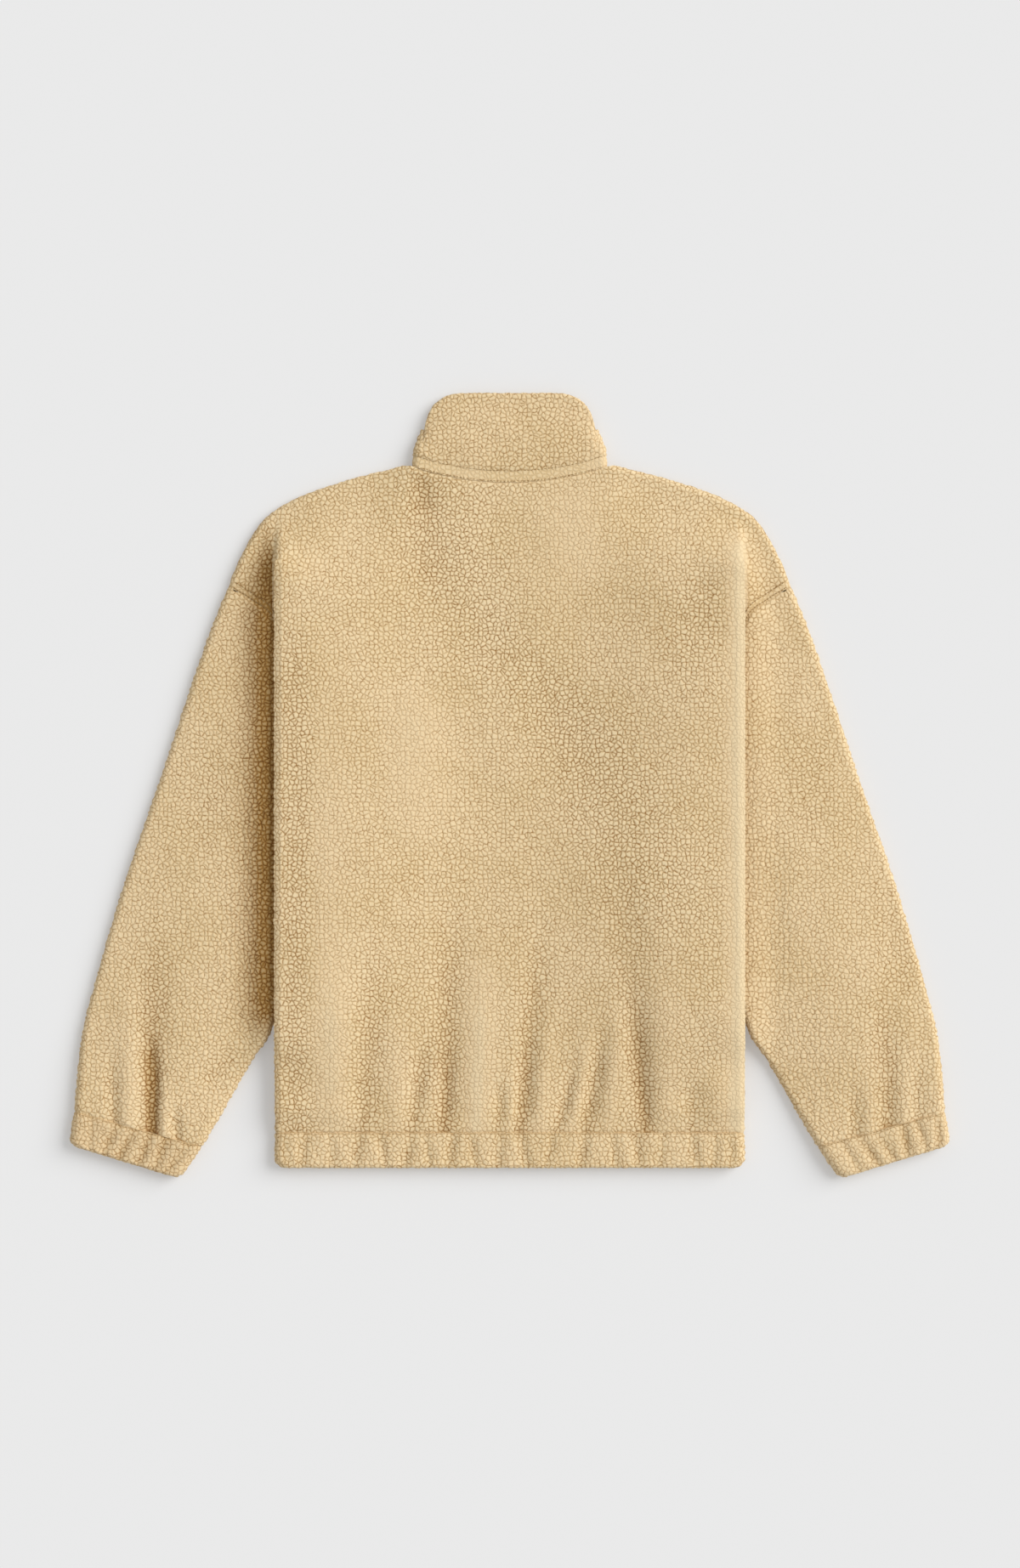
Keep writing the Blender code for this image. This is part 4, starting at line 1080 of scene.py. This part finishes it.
def panel_seams(fine):
    """The furrows along a body panel's seams, how much the pile stands beside them, and the
    painted shade in the furrows where the stitches draw it in."""
    x, y = fine.points[..., 0], fine.points[..., 1]
    hem, top = fine.rows[:, None], (fine.rows[-1] - fine.rows)[:, None]
    neck = np.where(np.abs(x) < NECK_X, top, 99.0)
    on_cap = np.arange(x.shape[1]) >= fine.column_marks[-2]
    if len(fine.column_marks) > 4:  # both halves
        on_cap |= on_cap[::-1]
    arm = np.where(on_cap, from_armhole(x, y), 99.0)
    sunk = FURROW * (beside(hem) + beside(neck) + beside(arm) + beside(arm - 5.5, 1.2))
    pile = 1 - beside(hem) - beside(neck) - beside(arm - 2.8, 4.0)
    # Painted shade in the furrows of the hem and the armhole stitches.
    seam_shade = 0.1 * beside(hem) + sum(0.35 * beside(arm - line, 1.5) for line in ARMHOLE_LINES)
    return sunk, unit(pile), seam_shade


def closeness(lift, sunk=0.0):
    """How closely the pile is pressed together where folds rise and sink: closer, with darker crevices, in
    troughs, and stretched lighter on ridges, which partly stands as painted shade and light on the folds.
    """
    return sunk / 2.5 - lift / 2.6


def fold_shade(lift):
    """Painted shade in the cloth's own soft folds, by how deep it lies in them."""
    return 0.75 * ease(-lift / 6.5)


def upward(points, least=0.4):
    """1 where the cloth's outer side faces up, 0 where it doesn't."""
    return ease(points[..., 5] * 1.6 - least)


def body_shadow(x, y, top, bottom):
    """Painted shadow that the body's higher side casts on a sleeve or drop shoulder beside it: strong on the
    left, away from the light, faint on the right.
    """
    away = np.maximum(np.abs(x) - SIDE_X, 0.0) / mix(12, 27, ease((top - y) / 110))
    along = ease((top - y) / 60) * ease((y - bottom) / 40)
    return np.where(x < 0, 1.0, 0.12) * along * np.minimum(1.2 * np.exp(-away**2), 1.0)


def back():
    """The back, and its outer face's rows beside the armholes."""
    fine, corners, missing = body_panel(1, BACK_COLUMNS, (2.2, 2.2, 3.6, 2.4), halves=True)
    x, y, z = (fine.points[..., i] for i in range(3))
    folds = fold_lift(BACK_FOLDS, x, y)
    lift = folds + 0.25 * wander(x, y, 52, 1.3) + 0.08 * wander(x, y, 23, 0.4)
    edge = np.minimum(fine.rows[-1] - fine.rows, fine.rows)[:, None]
    lift *= upward(fine.points) * (0.35 + 0.65 * ease(edge / 30))
    lowest = mix(ZIP_CLEAR_Z, LAYER + WALL / 2, ease((np.abs(x) - TAPE_WIDTH) / TAPE_WIDTH))
    # Troughs settle softly on the lowest height that the layers below allow.
    settled = lowest - z + SETTLING * np.logaddexp(0.0, (z + lift - lowest) / SETTLING)
    lift = np.where(lift < 0, np.maximum(lift, np.minimum(settled, 0.0)), lift)
    sunk, pile, seam_shade = panel_seams(fine)
    # The right fold's crown, toward the light, is stretched smooth and made lighter and paler, a
    # painted highlight; the left one's inner side, away from it, has its pile crowded together, with
    # darker crevices and a little painted shade.
    crown = ease((x - 204) / 26) * ease((240 - x) / 4) * ease((262 - y) / 30)
    bunched_and_shaded = beside(x + 213, 13) * ease((190 - y) / 90)
    close = closeness(folds, sunk) + fold_lift(BACK_PRESSED, x, y) + 0.1 * wander(x, y, 61, 0.9)
    close += 1.4 * bunched_and_shaded - 1.6 * crown
    # Painted shade in the soft folds, in the seam furrows, on the left fold's inner side, and in the body's
    # shadow on the drop shoulder beyond the side.
    deep = fold_shade(folds) + seam_shade + 0.1 * bunched_and_shaded + body_shadow(x, y, 270, 130) * (np.abs(x) > SIDE_X + 2)
    nap = Nap(pile * (1 - 0.6 * crown), unit(deep), np.clip(close, -1.5, 1.5))
    piece, outer = cloth("back", fine.points, lift, sunk, nap, corners, missing)
    return piece, outer[fine.row_marks[1]:fine.row_marks[2] + 1]


def front(side, name):
    """A front, and its outer face's rows beside the armhole, from there inwards."""
    fine, corners, missing = body_panel(-1, FRONT_COLUMNS, (PLAIN, PLAIN, PLAIN, 3.0), halves=False)
    x, y = fine.points[..., 0], fine.points[..., 1]
    sunk, pile, seam_shade = panel_seams(fine)
    folds = np.minimum(fold_lift(FRONT_FOLDS, x, y), 0.0) * 0.6
    # Painted shade in its folds and in the armhole and hem furrows.
    nap = Nap(pile, fold_shade(folds) + seam_shade, closeness(folds))
    piece, outer = cloth(f"front_{name}", on_side(fine.points, side), 0 * x, np.minimum(sunk - folds, 2.6),
                         nap, corners, missing, shift=(900 * side, 370))
    return piece, outer[fine.row_marks[1]:fine.row_marks[2] + 1, ::-1]


def fine_tube(rings, side, row_marks, row_steps, column_steps):
    """A flattened tube's fine grid, marked where its upper side, turn, lower side and turn begin
    and end; its points on this side of the jacket; its rows' shares of its length; and its turns,
    whose rolled-out cloth ends in the middle of the lower side."""
    points = lattice(rings)
    last = points.shape[1] - 1
    upper = last // 2 - TURN_STEPS - 1
    marks = 0, upper, last // 2, last // 2 + upper, last
    fine = fine_grid(points, row_marks, row_steps, marks, column_steps, tube=True)
    _, *ends = fine.column_marks
    middle = (ends[1] + ends[2]) // 2
    turns = (ends[0], ends[1], middle), (ends[3], ends[2], middle + 1)
    return fine, on_side(fine.points, side), (fine.rows / fine.rows[-1])[:, None], turns


def fleece_sleeve(side, name):
    fine, points, share, turns = fine_tube(sleeve(), side, (0, SLEEVE_RINGS), (2.0,), (2.0, 1.8, 3.6, 1.8))
    x, y = points[..., 0], points[..., 1]
    clear = ease((np.abs(x) - SIDE_X - CLEAR) / STEP_DOWN)
    over = unit(fine.columns / fine.columns[fine.column_marks[1]])
    above = upward(points)
    folded = fold_lift(RIGHT_SLEEVE_FOLDS if side > 0 else LEFT_SLEEVE_FOLDS, x, y) * clear * above
    lift = folded + 0.25 * wander(x, y, 47, 2.1 + side) * clear * above
    gap, to_cuff = from_armhole(x, y), (fine.rows[-1] - fine.rows)[:, None]
    caught = beside(gap) + beside(to_cuff)
    # Painted shade in the soft folds, in the shadow that the body casts beside it, and beside the armhole
    # seam.
    deep = fold_shade(folded) + body_shadow(x, y, 262, -262) * above + 0.25 * beside(gap)
    close = closeness(folded, FURROW * caught) - 0.2 + 0.1 * wander(x, y, 58, 0.5)
    nap = Nap(unit(1 - caught), unit(deep), np.clip(close, -1.2, 1.2))
    lift = np.maximum(lift, -2 * sleeve_puff(share, over) * clear)
    return cloth(f"sleeve_{name}", points, lift, FURROW * caught, nap, turns=turns)


def fleece_cuff(side, name):
    fine, points, share, turns = fine_tube(cuff(), side, BAND_MARKS, BAND_STEPS, (1.9, 1.6, 2.6, 1.6))
    at = fine.columns * np.ones_like(share)
    inner, beneath = (fine.columns[fine.column_marks[i]] - at for i in (1, 3))
    rucks = RIGHT_CUFF_RUCKS if side > 0 else LEFT_CUFF_RUCKS
    sunk = 1.15 * ruck_depth(rucks, inner if side > 0 else at, share) * upward(points, 0.2)
    sunk += RUCK_BENEATH * ruck_depth(rucks, beneath, share) * upward(-points, 0.2)
    seam = share * CUFF_HEIGHT
    sunk = sunk * ease((1 - share) / 0.08 + 0.3) + FURROW * beside(seam)
    uneven = 0.3 * wander(points[..., 0], points[..., 1], 17, 0.8) * (points[..., 5] > 0.5) * (share < 0.8)
    # Painted shade in the troughs of the rucks and beside the seam, and a little over all of the left
    # cuff, which lies a little further from the light.
    deep = fold_shade(-1.3 * sunk) + 0.06 * (1 - side) + 0.14 * beside(seam, 2.4)
    nap = Nap(1 - beside(seam), deep, closeness(1.6, 0.4 * sunk))
    return cloth(f"cuff_{name}", points, 0 * sunk, sunk - uneven, nap, turns=turns, shift=(610 * side, 0))


def fine_strip(band_row, turn, steps):
    """The fine grid of a band with open ends that goes round from front to front, out of its right
    half, which turns from this column for so many steps; and what cloth() needs of its shape."""
    points = lattice([band_row(share) for share in BAND_ROWS])
    points, marks = both_halves(points, (0, turn, turn + steps, points.shape[1] - 1))
    fine = fine_grid(points, BAND_MARKS, BAND_STEPS, marks, (2.8, 1.6, 1.9, 1.9, 1.6, 2.8))
    marks, top = fine.column_marks, fine.row_marks[-1]
    corners = (0, 0), (0, marks[-1]), (top, marks[-1]), (top, 0), (0, 0)
    return fine.points, {"corners": corners, "turns": (marks[2::-1], marks[4:])}


def fleece_hem():
    points, shape = fine_strip(hem_row, HEM_STEPS + len(NEAR_TURN), TURN_STEPS + 1)
    x, y = points[..., 0], points[..., 1]
    share = unit((HEM_SEAM_Y - y) / (HEM_SEAM_Y - HEM_Y))
    sunk = ruck_depth(HEM_RUCKS, x, share) * upward(points, 0.2)
    beneath = ruck_depth(HEM_RUCKS, -x * 0.93, share) * (np.abs(x) > 30)
    sunk += RUCK_BENEATH * beneath * upward(-points, 0.2)
    seam = share * (HEM_SEAM_Y - HEM_Y)
    sunk = sunk * ease((1 - share) / 0.08 + 0.3) + FURROW * beside(seam)
    sunk = np.minimum(sunk - 0.4 * wander(x, y, 19, 0.3) * (share < 0.8), 0.62 * points[..., 6])
    # Painted shade in the troughs of the rucks and beside the seam.
    nap = Nap(1 - beside(seam), fold_shade(-sunk) + 0.14 * beside(seam, 2.4), closeness(0.7, sunk))
    return cloth("hem_band", points, 0 * x, sunk, nap, shift=(0, -830), **shape)


def fleece_collar():
    points, shape = fine_strip(collar_row, len(BACK_NECK) - 1, TURN_STEPS + 2)
    x, y = points[..., 0], points[..., 1]
    steps = np.linalg.norm(np.diff(points[..., :3], axis=0), axis=-1)
    up = np.concatenate([0 * x[:1], np.cumsum(steps, axis=0)])
    band = beside(np.maximum(np.abs(up - 6.2) - 3.8, 0), 1.2)
    lift = 0.6 * wander(x, y, 34, 1.9) * (points[..., 5] > 0.5) * ease(up / 20) * (up < 0.85 * up[-1])
    sunk = FURROW * (band + beside(up - NECK_LINES[1], 1.1) + beside(up))
    sunk = np.minimum(sunk, 0.6 * points[..., 6])
    # The collar's right end is stretched smooth, lighter and paler, a painted highlight, and the whole
    # collar takes a faint painted shade.
    nap = Nap(unit(1 - band), 0.04, 0.3 * wander(x, y, 40, 2.6) - ease((x - 70) / 20))
    return cloth("collar", points, lift, sunk, nap, shift=(0, 640), **shape)


def lengths(line):
    """How far each point of a line of points is along it."""
    return np.cumsum([0.0, *np.linalg.norm(np.diff(line, axis=0), axis=1)])


def along(line, distances):
    """The points at these distances along a line of points."""
    return np.stack([np.interp(distances, lengths(line), line[:, i]) for i in range(3)], axis=-1)


def stitches(name, lines, distances, width):
    """Stitches half sunk in the cloth, end to end, at each distance inside the edge where the
    lines of points start."""
    bm, bead = bmesh.new(), bmesh.new()
    bmesh.ops.create_uvsphere(bead, u_segments=6, v_segments=4, radius=1.0)
    one = bpy.data.meshes.new("one stitch")
    bead.to_mesh(one)
    bead.free()
    for part, distance in product(lines, distances):
        route = np.array([along(line, distance) for line in part])
        total = lengths(route)[-1]
        count = int(total / STITCH_PITCH)
        ends = [Vector(end) for end in along(route, total * np.arange(count + 1) / count)]
        for start, end in zip(ends, ends[1:]):
            placed = one.copy()
            placed.transform(Matrix.LocRotScale((start + end) / 2, (end - start).to_track_quat("Z", "Y"),
                                                (width / 2, width / 2, STITCH_LENGTH / 2)))
            bm.from_mesh(placed)
            bpy.data.meshes.remove(placed)
    add(f"stitches_{name}", bm, THREAD, "fleece")


def zip_teeth():
    """Teeth of both rows in turn, closed over each other along the chain."""
    corners = np.array(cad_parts["zip_chain"].bound_box) / MM
    low, high = Vector(corners.min(axis=0)), Vector(corners.max(axis=0))
    size = (TOOTH_REACH, 0.7 * TOOTH_PITCH, high.z - low.z)
    bm = bmesh.new()
    for i in range(int((high.y - low.y) / TOOTH_PITCH)):
        x = (high.x - TOOTH_REACH / 2) * (1 if i % 2 else -1)
        middle = Vector((x, low.y + (i + 0.5) * TOOTH_PITCH, (low.z + high.z) / 2))
        bmesh.ops.create_cube(bm, size=1.0, matrix=Matrix.LocRotScale(middle, None, size))
    bmesh.ops.bevel(bm, geom=list(bm.edges), offset=TOOTH_EDGE, segments=1, profile=0.5, material=-1,
                    affect="EDGES")
    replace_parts(add("zip_teeth", bm, NYLON, "zip_teeth"), "zip_chain")


def floor():
    bm = bmesh.new()
    bmesh.ops.create_grid(bm, x_segments=1, y_segments=1, size=40 / MM)
    ground = add("ground", bm, opal())
    ground.location.z = -0.1 * MM


KEY_FROM = (0.73, 0.34, 0.58)
KEY_SPREAD = 44  # degrees: a broad sun, for soft shadows
CAMERA_AT = (0.0003, 0.0, 4.0)


def lights_and_camera():
    key = bpy.data.objects.new("key", bpy.data.lights.new("key", "SUN"))
    key.data.energy = 2.66
    key.data.angle = math.radians(KEY_SPREAD)
    key.rotation_euler = Vector(KEY_FROM).to_track_quat("Z", "Y").to_euler()
    world = bpy.data.worlds.new("soft room")
    world.use_nodes = True
    connect(world.node_tree, world.node_tree.nodes["Background"], ((1.0, 1.0, 1.0, 1.0), 0.56))
    camera = bpy.data.objects.new("camera", bpy.data.cameras.new("camera"))
    camera.data.lens = 91.5
    camera.data.clip_end = 200.0
    camera.location = CAMERA_AT
    scene = bpy.context.scene
    scene.collection.objects.link(key)
    scene.collection.objects.link(camera)
    scene.world, scene.camera = world, camera
    scene.view_settings.view_transform = "Standard"


CURLS, FLEECE, THREAD, NYLON = curls(), fleece(), thread(), nylon()
SIDES = ((1, "right"), (-1, "left"))
back_piece, back_caps = back()
fronts, front_caps = zip(*(front(side, name) for side, name in SIDES))
sleeves, _ = zip(*(fleece_sleeve(side, name) for side, name in SIDES))
cuffs, cuff_outers = zip(*(fleece_cuff(side, name) for side, name in SIDES))
hem_piece, hem_outer = fleece_hem()
collar_piece, collar_outer = fleece_collar()

stitches("neck", [collar_outer.swapaxes(0, 1)], NECK_LINES, FINE_STITCH)
stitches("hem", [hem_outer.swapaxes(0, 1)], BAND_LINES, FINE_STITCH)
for (side, name), front_cap, outer in zip(SIDES, front_caps, cuff_outers):
    stitches(f"cuff_{name}", [outer.swapaxes(0, 1)], BAND_LINES, FINE_STITCH)
    stitches(f"armhole_{name}", [back_caps[:, ::-side], front_cap], ARMHOLE_LINES, STITCH_WIDTH)
zip_teeth()
for look, names in ((woven_tape(), ("zip_tape_left", "zip_tape_right")),
                    (NYLON, ("zip_chain", "zip_box", "zip_stop_left", "zip_stop_right")),
                    (zinc(), ("zip_slider", "zip_pull"))):
    for name in names:
        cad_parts[name].data.materials.clear()
        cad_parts[name].data.materials.append(look)
floor()
lights_and_camera()
